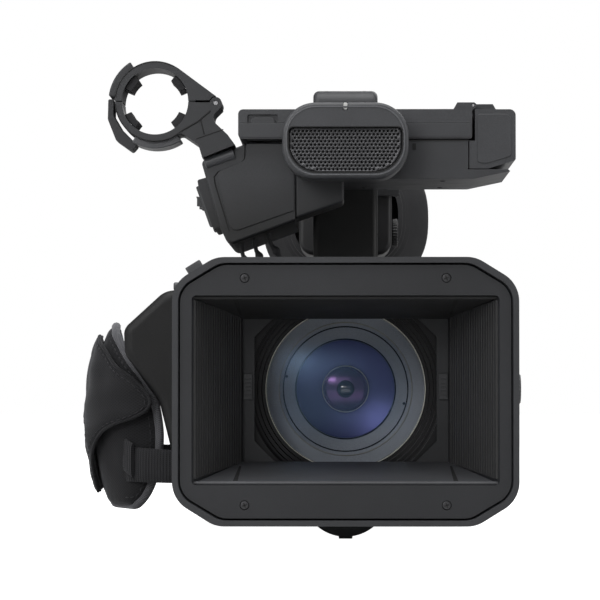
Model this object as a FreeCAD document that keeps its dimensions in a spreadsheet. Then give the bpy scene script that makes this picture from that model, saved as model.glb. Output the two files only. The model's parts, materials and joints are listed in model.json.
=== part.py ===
import FreeCAD, Part
# Handheld camcorder, in millimetres.
# X points to the operator's left, Y backwards (the lens looks along -Y), Z up.
# The origin is the tripod thread, on the underside of the base plate.
import math
import operator
import os

import Sketcher
from FreeCAD import Placement, Rotation, Vector

doc = FreeCAD.newDocument("Camcorder")

# ---------------------------------------------------------------- driving sizes

SIZES = {
    # fits
    "running_gap": 0.05,
    "seat_gap": 0.1,
    "part_gap": 0.4,
    # lens hood
    "axis_height": 60,
    "hood_reach": 225,
    "hood_drop": 1,
    "hood_width": 132,
    "hood_tall": 102.4,
    "hood_corner": 16.5,
    "hood_corner_drop": 10.2,
    "hood_round": 12,
    "hood_rear_width": 112,
    "hood_rear_tall": 98,
    "hood_taper": 54,
    "hood_wall": 2.2,
    "hood_back_wall": 3,
    "hood_collar": 8,
    "collar_wall": 6,
    "window_width": 117.2,
    "window_tall": 72.2,
    "window_round": 1.8,
    "throat_width": 81,
    "throat_tall": 58.2,
    "frame_inset": 1.2,
    "frame_thick": 2.6,
    "frame_groove": 0.8,
    "side_wall": 1.6,
    "side_wall_end": 48.5,
    "flap_length": 43,
    "flap_thick": 1.2,
    "flap_slope": 9,
    "flap_pivot": 0.9,
    "mask_width": 96,
    "mask_tall": 76,
    "mask_thick": 1.8,
    "mask_open_width": 72,
    "mask_open_tall": 58,
    "mask_corner": 8.5,
    "mask_corner_drop": 8.4,
    "screw_head": 1.45,
    "screw_spread": 38.4,
    "screw_rise": 43.2,
    "lever_width": 6.4,
    "lever_length": 9,
    "lever_tall": 3,
    "lever_travel": 10,
    # lens
    "filter_radius": 38.5,
    "filter_wall": 5.5,
    "filter_length": 12,
    "glass_radius": 31.8,
    "glass_depth": 62,
    "cone_radius": 26.8,
    "inner_radius": 19.9,
    "barrel_radius": 46,
    "ring_radius": 50,
    "focus_length": 29,
    "zoom_length": 25,
    "iris_length": 18,
    "ring_space": 1.2,
    "spigot_radius": 38,
    "spigot_length": 12,
    "foot_radius": 17.7,
    "foot_drop": 41.5,
    "foot_width": 5.5,
    # body
    "body_front": 72,
    "body_rear": 92,
    "body_left": 54,
    "body_right": 44,
    "body_split": 4,
    "body_floor": 6,
    "body_top": 112,
    "shell_wall": 2.4,
    "shell_round": 6,
    "base_width": 50,
    "base_front": 38,
    "base_rear": 62,
    "quarter_thread": 3.175,
    "video_thread": 4.76,
    "thread_spacing": 19,
    "battery_width": 42,
    "battery_tall": 69,
    "battery_long": 60,
    "battery_low": 21,
    "battery_mid": 2,
    "bay_wall": 1.6,
    "battery_proud": 4,
    "rear_thick": 3,
    # left side controls
    "panel_thick": 2,
    "dial_radius": 9,
    "dial_tall": 5.5,
    "dial_shaft": 2,
    "button_radius": 3.6,
    "button_proud": 1.4,
    "audio_door_length": 48,
    "audio_door_tall": 27,
    "audio_door_deep": 6.5,
    "audio_door_wall": 1.2,
    "level_radius": 5.5,
    "card_door_width": 19,
    "card_door_tall": 62,
    "card_door_thick": 2,
    # grip and strap
    "grip_front": 70,
    "grip_rear": 28,
    "rocker_length": 30,
    "rocker_width": 15,
    "record_radius": 5.5,
    "pad_low": 11,
    "pad_high": 87,
    "flap_low": 15,
    "flap_high": 81,
    "web_low": 19,
    "web_high": 34.5,
    # top handle
    "handle_width": 27.6,
    "handle_top": 188,
    "handle_under": 166,
    "handle_front": 76,
    "handle_rear": 70,
    "column_front": 28,
    "column_rear": 26,
    "shoe_width": 25,
    "shoe_slot": 18.6,
    "shoe_length": 20,
    # microphone pod and screen
    "pod_width": 50.8,
    "pod_low": 143.9,
    "pod_high": 174.8,
    "pod_round": 13.4,
    "pod_front": 163,
    "pod_rear": 146,
    "grille_width": 45.6,
    "grille_low": 146.8,
    "grille_high": 164.7,
    "grille_round": 11.4,
    "lamp_width": 1.7,
    "screen_right": 51.4,
    "screen_left": 43.6,
    "screen_low": 161.6,
    "screen_high": 173.6,
    "screen_front": 144.8,
    "screen_rear": 80,
    "hinge_across": 52,
    "hinge_rise": 175.2,
    "knuckle_radius": 1.3,
    "pin_radius": 0.6,
    "hinge_block_left": 69.1,
    "tray_low": 149.4,
    "tray_high": 160.7,
    "tray_rib": 4.2,
    # audio input box
    "box_front": 140,
    "box_rear": 50,
    "socket_radius": 7.5,
    "socket_deep": 14,
    # microphone holder
    "clamp_across": 77.4,
    "clamp_height": 176.9,
    "clamp_radius": 16.4,
    "clamp_inner": 13.5,
    "clamp_hold": 10.5,
    "clamp_front": 145,
    "clamp_rear": 122,
    "clamp_knuckle": 2.4,
    "clamp_pin": 1,
    "clamp_pivot_across": 52.7,
    "clamp_pivot_height": 176.2,
    # viewfinder
    "finder_height": 144.5,
    "finder_width": 44,
    "finder_tall": 42,
    "finder_front": 73,
    "finder_rear": 121,
    "finder_pivot": 77,
    "cup_width": 82.8,
    "cup_tall": 71,
    "cup_neck_width": 52,
    "cup_neck_tall": 46,
    "cup_length": 28,
    "cup_wall": 2.2,
}

sheet = doc.addObject("Spreadsheet::Sheet", "Sizes")
for row, (alias, length) in enumerate(SIZES.items(), start=1):
    sheet.set(f"A{row}", alias)
    sheet.set(f"B{row}", str(length))
    sheet.setAlias(f"B{row}", alias)
doc.recompute()


class Size:
    """A length that knows its number and the sheet expression that gives it."""

    def __init__(self, number, text):
        self.number = number
        self.text = text

    def __add__(self, other):
        return joined(self, "+", other)

    def __radd__(self, other):
        return joined(other, "+", self)

    def __sub__(self, other):
        return joined(self, "-", other)

    def __rsub__(self, other):
        return joined(other, "-", self)

    def __mul__(self, other):
        return joined(self, "*", other)

    def __rmul__(self, other):
        return joined(other, "*", self)

    def __truediv__(self, other):
        return joined(self, "/", other)

    def __neg__(self):
        return joined(0, "-", self)


OPERATIONS = {"+": operator.add, "-": operator.sub, "*": operator.mul, "/": operator.truediv}


def as_size(value):
    return value if isinstance(value, Size) else Size(value, f"({value})")


def joined(left, sign, right):
    first = as_size(left)
    second = as_size(right)
    return Size(OPERATIONS[sign](first.number, second.number), f"({first.text} {sign} {second.text})")


class Sheet:
    """The sheet's sizes as attributes."""

    def __init__(self, sizes):
        for name, number in sizes.items():
            setattr(self, name, Size(number, "Sizes." + name))


S = Sheet(SIZES)

# ---------------------------------------------------------------- helpers

NODES = {}
NORMAL = {"XY": 1, "XZ": -1, "YZ": 1}
AXES = {"X": Vector(1, 0, 0), "Y": Vector(0, 1, 0), "Z": Vector(0, 0, 1)}
TURNED = {"X": Rotation(AXES["Y"], 90), "Y": Rotation(AXES["X"], -90), "Z": Rotation()}


def bind(item, path, value):
    item.setExpression(path, as_size(value).text)


def node(label, item):
    """Name a finished sub-part."""
    item.Label = label
    NODES[label] = item
    return item


def new_body(label):
    return doc.addObject("PartDesign::Body", label)


def put(item, x=0, y=0, z=0, turn=None):
    """Place an item, with its three coordinates tied to the sheet."""
    item.Placement = Placement(Vector(0, 0, 0), turn or Rotation())
    bind(item, "Placement.Base.x", x)
    bind(item, "Placement.Base.y", y)
    bind(item, "Placement.Base.z", z)
    return item


def new_sketch(body, plane, place):
    sketch = body.newObject("Sketcher::SketchObject", f"{body.Name}_sketch")
    origin = [part for part in body.Origin.OriginFeatures if part.Role == f"{plane}_Plane"]
    sketch.AttachmentSupport = [(origin[0], "")]
    sketch.MapMode = "FlatFace"
    bind(sketch, "AttachmentOffset.Base.z", place * NORMAL[plane] if NORMAL[plane] > 0 else -as_size(place))
    return sketch


def measure(sketch, kind, element, end, value):
    """Hold one coordinate of a sketch point, measured from the sketch's origin."""
    size = as_size(value)
    index = sketch.addConstraint(Sketcher.Constraint(kind, -1, 1, element, end, size.number))
    sketch.setExpression(f"Constraints[{index}]", size.text)


def arc_between(centre, start, end, left_turn):
    """The round of one corner as a sketch arc, which always runs anticlockwise."""
    first, last = (start, end) if left_turn else (end, start)
    begin = math.atan2(first.y - centre.y, first.x - centre.x)
    finish = math.atan2(last.y - centre.y, last.x - centre.x)
    if finish <= begin:
        finish += 2 * math.pi
    radius = (start - centre).Length
    return Part.ArcOfCircle(Part.Circle(centre, AXES["Z"], radius), begin, finish)


def outline(sketch, corners):
    """Draw a closed polygon; a corner with a third value is rounded to that radius."""
    corners = [[as_size(value) for value in corner] for corner in corners]
    points = [Vector(corner[0].number, corner[1].number, 0) for corner in corners]
    count = len(points)
    rounded = any(len(corner) > 2 for corner in corners)
    for i in range(count):
        sketch.addGeometry(Part.LineSegment(points[i], points[(i + 1) % count]), rounded)
    for i in range(count):
        sketch.addConstraint(Sketcher.Constraint("Coincident", i, 2, (i + 1) % count, 1))
        measure(sketch, "DistanceX", i, 1, corners[i][0])
        measure(sketch, "DistanceY", i, 1, corners[i][1])
    if rounded:
        round_outline(sketch, corners, points)


def round_outline(sketch, corners, points):
    """Trace the construction polygon with trimmed lines and tangent arcs."""
    count = len(points)
    ways = [(points[(i + 1) % count] - points[i]).normalize() for i in range(count)]
    trims = []
    for i, corner in enumerate(corners):
        radius = corner[2].number if len(corner) > 2 else 0
        half_turn = ways[i - 1].getAngle(ways[i]) / 2
        trims.append(radius * math.tan(half_turn))
    lines = []
    for i in range(count):
        start = points[i] + ways[i] * trims[i]
        end = points[(i + 1) % count] - ways[i] * trims[(i + 1) % count]
        line = sketch.addGeometry(Part.LineSegment(start, end), False)
        lines.append(line)
        for here, corner in ((1, i), (2, (i + 1) % count)):
            if trims[corner]:
                sketch.addConstraint(Sketcher.Constraint("PointOnObject", line, here, i))
            else:
                sketch.addConstraint(Sketcher.Constraint("Coincident", line, here, corner, 1))
    for i, corner in enumerate(corners):
        if not trims[i]:
            continue
        before = ways[i - 1]
        left_turn = before.cross(ways[i]).z > 0
        start = points[i] - before * trims[i]
        end = points[i] + ways[i] * trims[i]
        side = Vector(-before.y, before.x, 0) * (1 if left_turn else -1)
        centre = start + side * corner[2].number
        arc = sketch.addGeometry(arc_between(centre, start, end, left_turn), False)
        first, last = (1, 2) if left_turn else (2, 1)
        sketch.addConstraint(Sketcher.Constraint("Tangent", lines[i - 1], 2, arc, first))
        sketch.addConstraint(Sketcher.Constraint("Tangent", arc, last, lines[i], 1))
        index = sketch.addConstraint(Sketcher.Constraint("Radius", arc, corner[2].number))
        sketch.setExpression(f"Constraints[{index}]", corner[2].text)


def circle(sketch, x, y, radius):
    x, y, radius = as_size(x), as_size(y), as_size(radius)
    element = sketch.addGeometry(Part.Circle(Vector(x.number, y.number, 0), AXES["Z"], radius.number), False)
    measure(sketch, "DistanceX", element, 3, x)
    measure(sketch, "DistanceY", element, 3, y)
    index = sketch.addConstraint(Sketcher.Constraint("Radius", element, radius.number))
    sketch.setExpression(f"Constraints[{index}]", radius.text)


def extrude(body, sketch, plane, length, kind):
    """Pad or pocket a sketch towards the positive side of its plane."""
    before = body.Tip.Shape.Volume if kind == "Pocket" else 0
    feature = body.newObject(f"PartDesign::{kind}", f"{body.Name}_{kind}")
    feature.Profile = sketch
    bind(feature, "Length", length)
    feature.Reversed = (kind == "Pad") == (NORMAL[plane] < 0)
    doc.recompute()
    if kind == "Pocket" and feature.Shape.Volume > before - 1e-6:
        raise ValueError(f"{body.Name}: a pocket removed nothing")
    return feature


def pad(body, plane, start, length, corners):
    sketch = new_sketch(body, plane, start)
    outline(sketch, corners)
    return extrude(body, sketch, plane, length, "Pad")


def pocket(body, plane, start, length, corners):
    sketch = new_sketch(body, plane, start)
    outline(sketch, corners)
    return extrude(body, sketch, plane, length, "Pocket")


def pad_round(body, plane, start, length, x, y, radius):
    sketch = new_sketch(body, plane, start)
    circle(sketch, x, y, radius)
    return extrude(body, sketch, plane, length, "Pad")


def bore(body, plane, start, length, x, y, radius):
    sketch = new_sketch(body, plane, start)
    circle(sketch, x, y, radius)
    return extrude(body, sketch, plane, length, "Pocket")


def turned(label, profile):
    """A piece turned about the lens axis, from (place along Y, radius) corners."""
    body = new_body(label)
    sketch = new_sketch(body, "YZ", 0)
    outline(sketch, profile)
    feature = body.newObject("PartDesign::Revolution", f"{label}_turning")
    feature.Profile = sketch
    feature.ReferenceAxis = (sketch, ["H_Axis"])
    feature.Angle = 360
    return put(body, z=S.axis_height)


def at(axis, place):
    """Chooses the edges that lie in a plane across an axis."""
    def test(edge):
        level = as_size(place).number
        return all(abs(vertex.Point.dot(AXES[axis]) - level) < 1e-4 for vertex in edge.Vertexes)
    return test


def all_of(*tests):
    return lambda edge: all(test(edge) for test in tests)


def round_edges(body, radius, chosen):
    """Fillet the edges of a body's last feature that a test chooses."""
    doc.recompute()
    base = body.Tip
    names = [f"Edge{i}" for i, edge in enumerate(base.Shape.Edges, start=1) if chosen(edge)]
    feature = body.newObject("PartDesign::Fillet", f"{body.Name}_round")
    feature.Base = (base, names)
    bind(feature, "Radius", radius)
    doc.recompute()
    return feature


def block(label, x, y, z, size_x, size_y, size_z):
    """A box from its lowest corner and its three sides."""
    item = doc.addObject("Part::Box", label)
    bind(item, "Length", size_x)
    bind(item, "Width", size_y)
    bind(item, "Height", size_z)
    return put(item, x, y, z)


def rod(label, axis, x, y, z, radius, length):
    """A cylinder that starts at a point and runs along an axis."""
    item = doc.addObject("Part::Cylinder", label)
    bind(item, "Radius", radius)
    bind(item, "Height", length)
    return put(item, x, y, z, TURNED[axis])


def cut(label, base, *tools):
    result = base
    for tool in tools:
        step = doc.addObject("Part::Cut", f"{label}_cut")
        step.Base = result
        step.Tool = tool
        result = step
    return result


def fuse(label, *pieces):
    whole = doc.addObject("Part::MultiFuse", f"{label}_whole")
    whole.Shapes = list(pieces)
    whole.Refine = True
    return whole


def group(label, pieces):
    """Separate solids of one node."""
    whole = doc.addObject("Part::Compound", f"{label}_group")
    whole.Links = list(pieces)
    return whole


def mirrored_ring(points):
    """Close an outline from its right half, top to bottom, by mirroring it about the middle."""
    return points + [[-as_size(point[0])] + list(point[1:]) for point in reversed(points)]


def octagon(mid, width, tall, corner, drop, radius):
    """A rounded octagon about X = 0, from its widths and its corner cuts."""
    half = width / 2
    high = mid + tall / 2
    low = mid - tall / 2
    right = [(half - corner, high, radius), (half, high - drop, radius),
             (half, low + drop, radius), (half - corner, low, radius)]
    return mirrored_ring(right)


def rectangle(left, low, right, high, radius=None):
    corners = [(left, low), (right, low), (right, high), (left, high)]
    return [corner + (radius,) for corner in corners] if radius is not None else corners


# ---------------------------------------------------------------- lens hood

HOOD_FRONT = -S.hood_reach
HOOD_MID = S.axis_height - S.hood_drop
HOOD_BACK = HOOD_FRONT + S.hood_taper
WINDOW_LOW = HOOD_MID - S.window_tall / 2 + 0.5
WINDOW_HIGH = WINDOW_LOW + S.window_tall
COLLAR_BORE = S.filter_radius + S.filter_wall + S.seat_gap
FLAP_HINGE = HOOD_FRONT + S.frame_inset + S.frame_thick + 1
FLAP_OFFSET = S.window_tall / 2 - S.flap_thick / 2
WINDOW_MID = (WINDOW_LOW + WINDOW_HIGH) / 2
CHAMFER_TILT = math.degrees(math.atan2(SIZES["hood_corner_drop"], SIZES["hood_corner"]))
LEVER_START = HOOD_FRONT + 10


def loft(body, kind, front, rear, front_corners, rear_corners):
    first = new_sketch(body, "XZ", front)
    outline(first, front_corners)
    last = new_sketch(body, "XZ", rear)
    outline(last, rear_corners)
    feature = body.newObject(f"PartDesign::{kind}Loft", f"{body.Name}_{kind}")
    feature.Profile = first
    feature.Sections = [last]
    feature.Ruled = True
    doc.recompute()
    return feature


def hood_octagon(inset, rear=False):
    """The hood's outline, drawn in by an inset."""
    width = S.hood_rear_width if rear else S.hood_width
    tall = S.hood_rear_tall if rear else S.hood_tall
    return octagon(HOOD_MID, width - inset * 2, tall - inset * 2, S.hood_corner - inset * 0.3,
                   S.hood_corner_drop - inset * 0.3, S.hood_round - inset)


def lever_frame(item, reach):
    """Put an item on the hood's upper right-hand chamfer, standing out from it."""
    turn = Rotation(AXES["Y"], -CHAMFER_TILT)
    across = -(S.hood_width / 2 - S.hood_corner / 2) + 0.6
    height = HOOD_MID + S.hood_tall / 2 - S.hood_corner_drop / 2
    tilt = math.radians(CHAMFER_TILT)
    return put(item, across - math.sin(tilt) * reach, 0, height + math.cos(tilt) * reach, turn)


def make_hood_shell():
    body = new_body("hood_shell_body")
    loft(body, "Additive", HOOD_FRONT, HOOD_BACK, hood_octagon(as_size(0)), hood_octagon(as_size(0), True))
    pad_round(body, "XZ", HOOD_BACK, S.hood_collar, 0, S.axis_height, COLLAR_BORE + S.collar_wall)
    loft(body, "Subtractive", HOOD_FRONT, HOOD_BACK - S.hood_back_wall,
         hood_octagon(S.hood_wall), hood_octagon(S.hood_wall, True))
    bore(body, "XZ", HOOD_BACK - S.hood_back_wall, S.hood_back_wall + S.hood_collar, 0, S.axis_height, COLLAR_BORE)
    slot = new_body("lever_slot")
    stem = S.lever_width / 2 + S.part_gap
    pad(slot, "XY", -8, 16, rectangle(-stem / 2, LEVER_START, stem / 2, LEVER_START + S.lever_length + S.lever_travel))
    lever_frame(slot, 0)
    node("hood_shell", cut("hood_shell", body, slot))


def make_hood_front_frame():
    body = new_body("hood_front_frame_body")
    start = HOOD_FRONT + S.frame_inset
    pad(body, "XZ", start, S.frame_thick, hood_octagon(S.hood_wall + S.frame_groove))
    window = rectangle(-S.window_width / 2, WINDOW_LOW, S.window_width / 2, WINDOW_HIGH, S.window_round)
    pocket(body, "XZ", start, S.frame_thick, window)
    wall_end = HOOD_FRONT + S.side_wall_end
    for side in (1, -1):
        front = S.window_width / 2 * side
        rear = S.throat_width / 2 * side
        wall = S.side_wall * side
        corners = [(front, start + 1), (front + wall, start + 1), (rear + wall, wall_end), (rear, wall_end)]
        pad(body, "XY", WINDOW_LOW - 2, S.window_tall + 4, corners)
    for side in (-1, 1):
        height = WINDOW_MID + FLAP_OFFSET * side
        bore(body, "YZ", -S.window_width / 2 - S.side_wall * 2, S.window_width + S.side_wall * 4,
             FLAP_HINGE, height, S.flap_pivot + S.running_gap)
    heads = []
    for x in (-1, 1):
        for z in (-1, 1):
            heads.append(rod("screw_seat", "Y", S.screw_spread * x, start - 1, HOOD_MID + S.screw_rise * z,
                             S.screw_head + S.part_gap, 2.2))
    node("hood_front_frame", cut("hood_front_frame", body, *heads))


def make_hood_screws():
    start = HOOD_FRONT + S.frame_inset + 1.3
    screws = []
    for x in (-1, 1):
        for z in (-1, 1):
            place = (S.screw_spread * x, HOOD_MID + S.screw_rise * z)
            head = rod("screw_head", "Y", place[0], start - 0.9, place[1], S.screw_head, 0.8)
            cross = block("screw_cross", place[0] - 0.9, start - 1, place[1] - 0.2, 1.8, 0.6, 0.4)
            upright = block("screw_upright", place[0] - 0.2, start - 1, place[1] - 0.9, 0.4, 0.6, 1.8)
            screws.append(cut("screw", head, cross, upright))
    node("hood_screws", group("hood_screws", screws))


def make_shutter(label, side):
    """One shutter flap, hinged at the window's edge and lying along the funnel's wall when open."""
    body = new_body(label)
    front = S.window_width / 2 - 1.8
    rear = S.throat_width / 2 + 0.2
    thick = S.flap_thick
    pad(body, "XY", -thick / 2, thick, [(-front, 0), (front, 0), (rear, S.flap_length), (-rear, S.flap_length)])
    pivot = front + S.side_wall + 0.6
    pad_round(body, "YZ", -pivot, pivot * 2, 0, 0, S.flap_pivot)
    turn = Rotation(AXES["X"], -SIZES["flap_slope"] * side)
    node(label, put(body, 0, FLAP_HINGE, WINDOW_MID + FLAP_OFFSET * side, turn))


def make_shutter_lever():
    body = new_body("shutter_lever")
    half = S.lever_width / 2
    stem = S.lever_width / 4
    begin = LEVER_START + 0.4
    pad(body, "XY", 0.35, S.lever_tall, rectangle(-half, begin, half, begin + S.lever_length, 1.2))
    pad(body, "XY", -5, 6, rectangle(-stem, begin + 0.3, stem, begin + S.lever_length - 1))
    node("shutter_lever", lever_frame(body, 0))


def make_hood_mask():
    body = new_body("hood_mask")
    start = HOOD_BACK - S.hood_back_wall - S.mask_thick - 0.3
    half = S.mask_width / 2
    high = S.mask_tall / 2
    pad(body, "XZ", start, S.mask_thick, rectangle(-half, S.axis_height - high, half, S.axis_height + high, 6))
    hole = octagon(S.axis_height, S.mask_open_width, S.mask_open_tall, S.mask_corner, S.mask_corner_drop, 0.5)
    pocket(body, "XZ", start, S.mask_thick, hole)
    node("hood_mask", body)


make_hood_shell()
make_hood_front_frame()
make_hood_screws()
make_shutter("shutter_upper", 1)
make_shutter("shutter_lower", -1)
make_shutter_lever()
make_hood_mask()

# ---------------------------------------------------------------- lens

FILTER_FRONT = HOOD_BACK + 0.2
BARREL_FRONT = FILTER_FRONT + S.filter_length + 0.2
GLASS_EDGE = HOOD_FRONT + S.glass_depth + 5
CELL_END = GLASS_EDGE + 14
INNER_START = CELL_END + 0.2
BODY_FRONT = -S.body_front
IRIS_END = BODY_FRONT - 8
IRIS_START = IRIS_END - S.iris_length
ZOOM_START = IRIS_START - S.ring_space - S.zoom_length
FOCUS_START = ZOOM_START - S.ring_space - S.focus_length


def lens_disc(label, radius, start, thick, front_bulge, rear_bulge):
    """A round lens about the lens axis, with both faces curved."""
    body = new_body(label)
    sketch = new_sketch(body, "YZ", 0)
    radius, start, thick = as_size(radius), as_size(start), as_size(thick)
    end = start + thick
    apex_front = start - front_bulge
    apex_rear = end + rear_bulge
    corners = [(apex_front, 0), (apex_rear, 0), (end, radius), (start, radius)]
    points = [Vector(as_size(x).number, as_size(y).number, 0) for x, y in corners]
    sketch.addGeometry(Part.LineSegment(points[0], points[1]), False)
    sketch.addGeometry(face_arc(points[1], points[2]), False)
    sketch.addGeometry(Part.LineSegment(points[2], points[3]), False)
    sketch.addGeometry(face_arc(points[0], points[3]), False)
    measure(sketch, "DistanceX", 0, 1, corners[0][0])
    measure(sketch, "DistanceX", 0, 2, corners[1][0])
    for end_point in (1, 2):
        sketch.addConstraint(Sketcher.Constraint("PointOnObject", 0, end_point, -1))
    for end_point, corner in ((1, 2), (2, 3)):
        measure(sketch, "DistanceX", 2, end_point, corners[corner][0])
        measure(sketch, "DistanceY", 2, end_point, corners[corner][1])
    rear_is_far = as_size(rear_bulge).number > 0
    sketch.addConstraint(Sketcher.Constraint("Coincident", 1, 1 if rear_is_far else 2, 0, 2))
    sketch.addConstraint(Sketcher.Constraint("Coincident", 1, 2 if rear_is_far else 1, 2, 1))
    sketch.addConstraint(Sketcher.Constraint("Coincident", 3, 2, 0, 1))
    sketch.addConstraint(Sketcher.Constraint("Coincident", 3, 1, 2, 2))
    for arc in (1, 3):
        sketch.addConstraint(Sketcher.Constraint("PointOnObject", arc, 3, -1))
    feature = body.newObject("PartDesign::Revolution", f"{label}_turning")
    feature.Profile = sketch
    feature.ReferenceAxis = (sketch, ["H_Axis"])
    feature.Angle = 360
    return put(body, z=S.axis_height)


def face_arc(apex, rim):
    """The arc of one lens face, with its centre on the lens axis."""
    sag = rim.x - apex.x
    centre = Vector(apex.x + (sag ** 2 + rim.y ** 2) / (2 * sag), 0, 0)
    start, end = (rim, apex) if centre.x > apex.x else (apex, rim)
    begin = math.atan2(start.y, start.x - centre.x)
    finish = math.atan2(end.y, end.x - centre.x)
    if finish <= begin:
        finish += 2 * math.pi
    return Part.ArcOfCircle(Part.Circle(centre, AXES["Z"], (rim - centre).Length), begin, finish)


def make_filter_ring():
    """The filter thread and, behind it, the stepped black ring that holds the front glass."""
    bore_radius = S.filter_radius
    outside = bore_radius + S.filter_wall
    seat = bore_radius - S.seat_gap
    inside = S.glass_radius + S.seat_gap
    end = FILTER_FRONT + S.filter_length
    start = GLASS_EDGE - 5
    step = (bore_radius - inside) / 4
    profile = [(FILTER_FRONT, bore_radius), (FILTER_FRONT, outside), (end, outside), (end, seat), (CELL_END, seat),
               (CELL_END, inside), (start + 3.9, inside)]
    for count in (3, 2, 1):
        profile.append((start + count * 1.3, bore_radius - step * count))
        profile.append((start + (count - 1) * 1.3, bore_radius - step * count))
    profile.append((start, bore_radius))
    node("filter_ring", turned("filter_ring", profile))


def make_inner_cell():
    """The light grey cone between the front glass and the second glass."""
    outside = S.filter_radius - S.seat_gap
    wide = S.cone_radius
    narrow = S.inner_radius + S.seat_gap
    start = INNER_START
    end = start + 13
    profile = [(start, wide), (start, outside), (end, outside), (end, narrow), (start + 7, narrow)]
    node("inner_cell", turned("inner_cell", profile))


def make_lens_barrel():
    inside = S.filter_radius
    tube = S.barrel_radius
    stop = INNER_START + 13.2
    throat = S.inner_radius - 7
    collar = IRIS_END + S.ring_space
    end = BODY_FRONT - 0.5
    spigot = S.spigot_radius
    profile = [(BARREL_FRONT, inside), (BARREL_FRONT, tube), (collar, tube), (collar, S.ring_radius - 0.5),
               (end, S.ring_radius - 0.5), (end, spigot), (end + S.spigot_length, spigot),
               (end + S.spigot_length, spigot - 3), (stop + 4, spigot - 3), (stop + 4, throat), (stop, throat),
               (stop, inside)]
    node("lens_barrel", turned("lens_barrel", profile))


def make_lens_ring(label, start, length):
    """One of the operator's rings, running freely on the barrel."""
    inside = S.barrel_radius + S.running_gap
    outside = S.ring_radius
    end = start + length
    body = turned(label, [(start, inside), (start, outside - 0.8), (start + 0.8, outside), (end - 0.8, outside),
                          (end, outside - 0.8), (end, inside)])
    node(label, body)


def make_lens_foot():
    """The bulge under the lens, with the narrow foot that it stands on."""
    start = BARREL_FRONT + 1
    length = BODY_FRONT - start - 0.3
    rise = S.axis_height - S.foot_drop
    bulge = rod("foot_bulge", "Y", 0, start, rise, S.foot_radius, length)
    clear = rod("foot_clear", "Y", 0, start - 1, S.axis_height, S.ring_radius + S.part_gap + 0.2, length + 2)
    foot = block("foot_rest", -S.foot_width / 2, start + 1, 0, S.foot_width, 16, 3)
    node("lens_foot", fuse("lens_foot", cut("lens_foot", bulge, clear), foot))


def make_sensor_block():
    start = BODY_FRONT - 0.5 + S.spigot_length + 0.4
    body = new_body("sensor_block")
    half = 22
    pad(body, "XZ", start, 14, rectangle(-half, S.axis_height - half, half, S.axis_height + half, 2))
    bore(body, "XZ", start, 6, 0, S.axis_height, 9)
    node("sensor_block", body)


make_filter_ring()
front_glass = lens_disc("front_glass", S.glass_radius, GLASS_EDGE, 6, 5.5, -3)
second_glass = lens_disc("second_glass", S.inner_radius, INNER_START + 7.5, 4, 3, 1)
node("lens_glass", group("lens_glass", [front_glass, second_glass]))
make_inner_cell()
make_lens_barrel()
make_lens_ring("focus_ring", FOCUS_START, S.focus_length)
make_lens_ring("zoom_ring", ZOOM_START, S.zoom_length)
make_lens_ring("iris_ring", IRIS_START, S.iris_length)
make_lens_foot()
make_sensor_block()

# ---------------------------------------------------------------- body

BAY_LEFT = S.battery_mid - S.battery_width / 2
BAY_RIGHT = S.battery_mid + S.battery_width / 2
BATTERY_TOP = S.battery_low + S.battery_tall
BATTERY_END = S.body_rear + S.rear_thick + S.battery_proud
BATTERY_START = BATTERY_END - S.battery_long


def make_body_shell(label, split, outer, inner):
    """One half of the clamshell: open at the split and at the rear."""
    body = new_body(label)
    low = min(split, outer, key=lambda size: as_size(size).number)
    high = max(split, outer, key=lambda size: as_size(size).number)
    side = [(BODY_FRONT, S.body_floor, 8), (S.body_rear, S.body_floor), (S.body_rear, S.body_top),
            (BODY_FRONT, S.body_top, 10)]
    pad(body, "YZ", low, high - low, side)
    round_edges(body, S.shell_round, all_of(at("X", outer), lambda edge: edge.CenterOfMass.y < SIZES["body_rear"] - 1))
    wall = S.shell_wall
    hollow_low = low + wall if as_size(low).number == as_size(outer).number else low
    hollow_length = high - low - wall
    hollow = [(BODY_FRONT + wall, S.body_floor + wall, 6), (S.body_rear, S.body_floor + wall),
              (S.body_rear, S.body_top - wall), (BODY_FRONT + wall, S.body_top - wall, 8)]
    pocket(body, "YZ", hollow_low, hollow_length, hollow)
    opening = rod(f"{label}_lens_hole", "Y", 0, BODY_FRONT - 2, S.axis_height, S.spigot_radius + S.seat_gap, wall + 4)
    node(label, cut(label, body, opening))


def make_base_plate():
    body = new_body("base_plate")
    half = S.base_width / 2
    pad(body, "XY", 0, S.body_floor - S.seat_gap, rectangle(-half, -S.base_front, half, S.base_rear, 8))
    bore(body, "XY", 0, S.body_floor, 0, 0, S.quarter_thread)
    bore(body, "XY", 0, S.body_floor, 0, S.thread_spacing, S.video_thread)
    node("base_plate", body)


def make_rear_panel():
    """The rear cover, with the sleeve that the battery slides into."""
    body = new_body("rear_panel")
    start = S.body_rear + S.seat_gap
    edge = S.part_gap
    pad(body, "XZ", start, S.rear_thick - S.seat_gap,
        rectangle(-S.body_right + edge, S.body_floor + edge, S.body_left - edge, S.body_top - edge, 5))
    wall = S.bay_wall + S.part_gap
    deep = BATTERY_START - 2
    pad(body, "XZ", deep, start - deep,
        rectangle(BAY_LEFT - wall, S.battery_low - wall, BAY_RIGHT + wall, BATTERY_TOP + wall))
    gap = S.part_gap
    pocket(body, "XZ", BATTERY_START - gap, S.battery_long + gap,
           rectangle(BAY_LEFT - gap, S.battery_low - gap, BAY_RIGHT + gap, BATTERY_TOP + gap, 2))
    for x, z, radius in ((38, 96, 4.6), (46, 20, 3.2), (-33, 30, 4.6), (-33, 46, 4.6)):
        bore(body, "XZ", start, S.rear_thick, x, z, radius)
    node("rear_panel", body)


def make_battery_pack():
    body = new_body("battery_pack")
    pad(body, "XZ", BATTERY_START, S.battery_long,
        rectangle(BAY_LEFT, S.battery_low, BAY_RIGHT, BATTERY_TOP, 2.5))
    round_edges(body, 1, at("Y", BATTERY_END))
    node("battery_pack", body)


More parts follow.
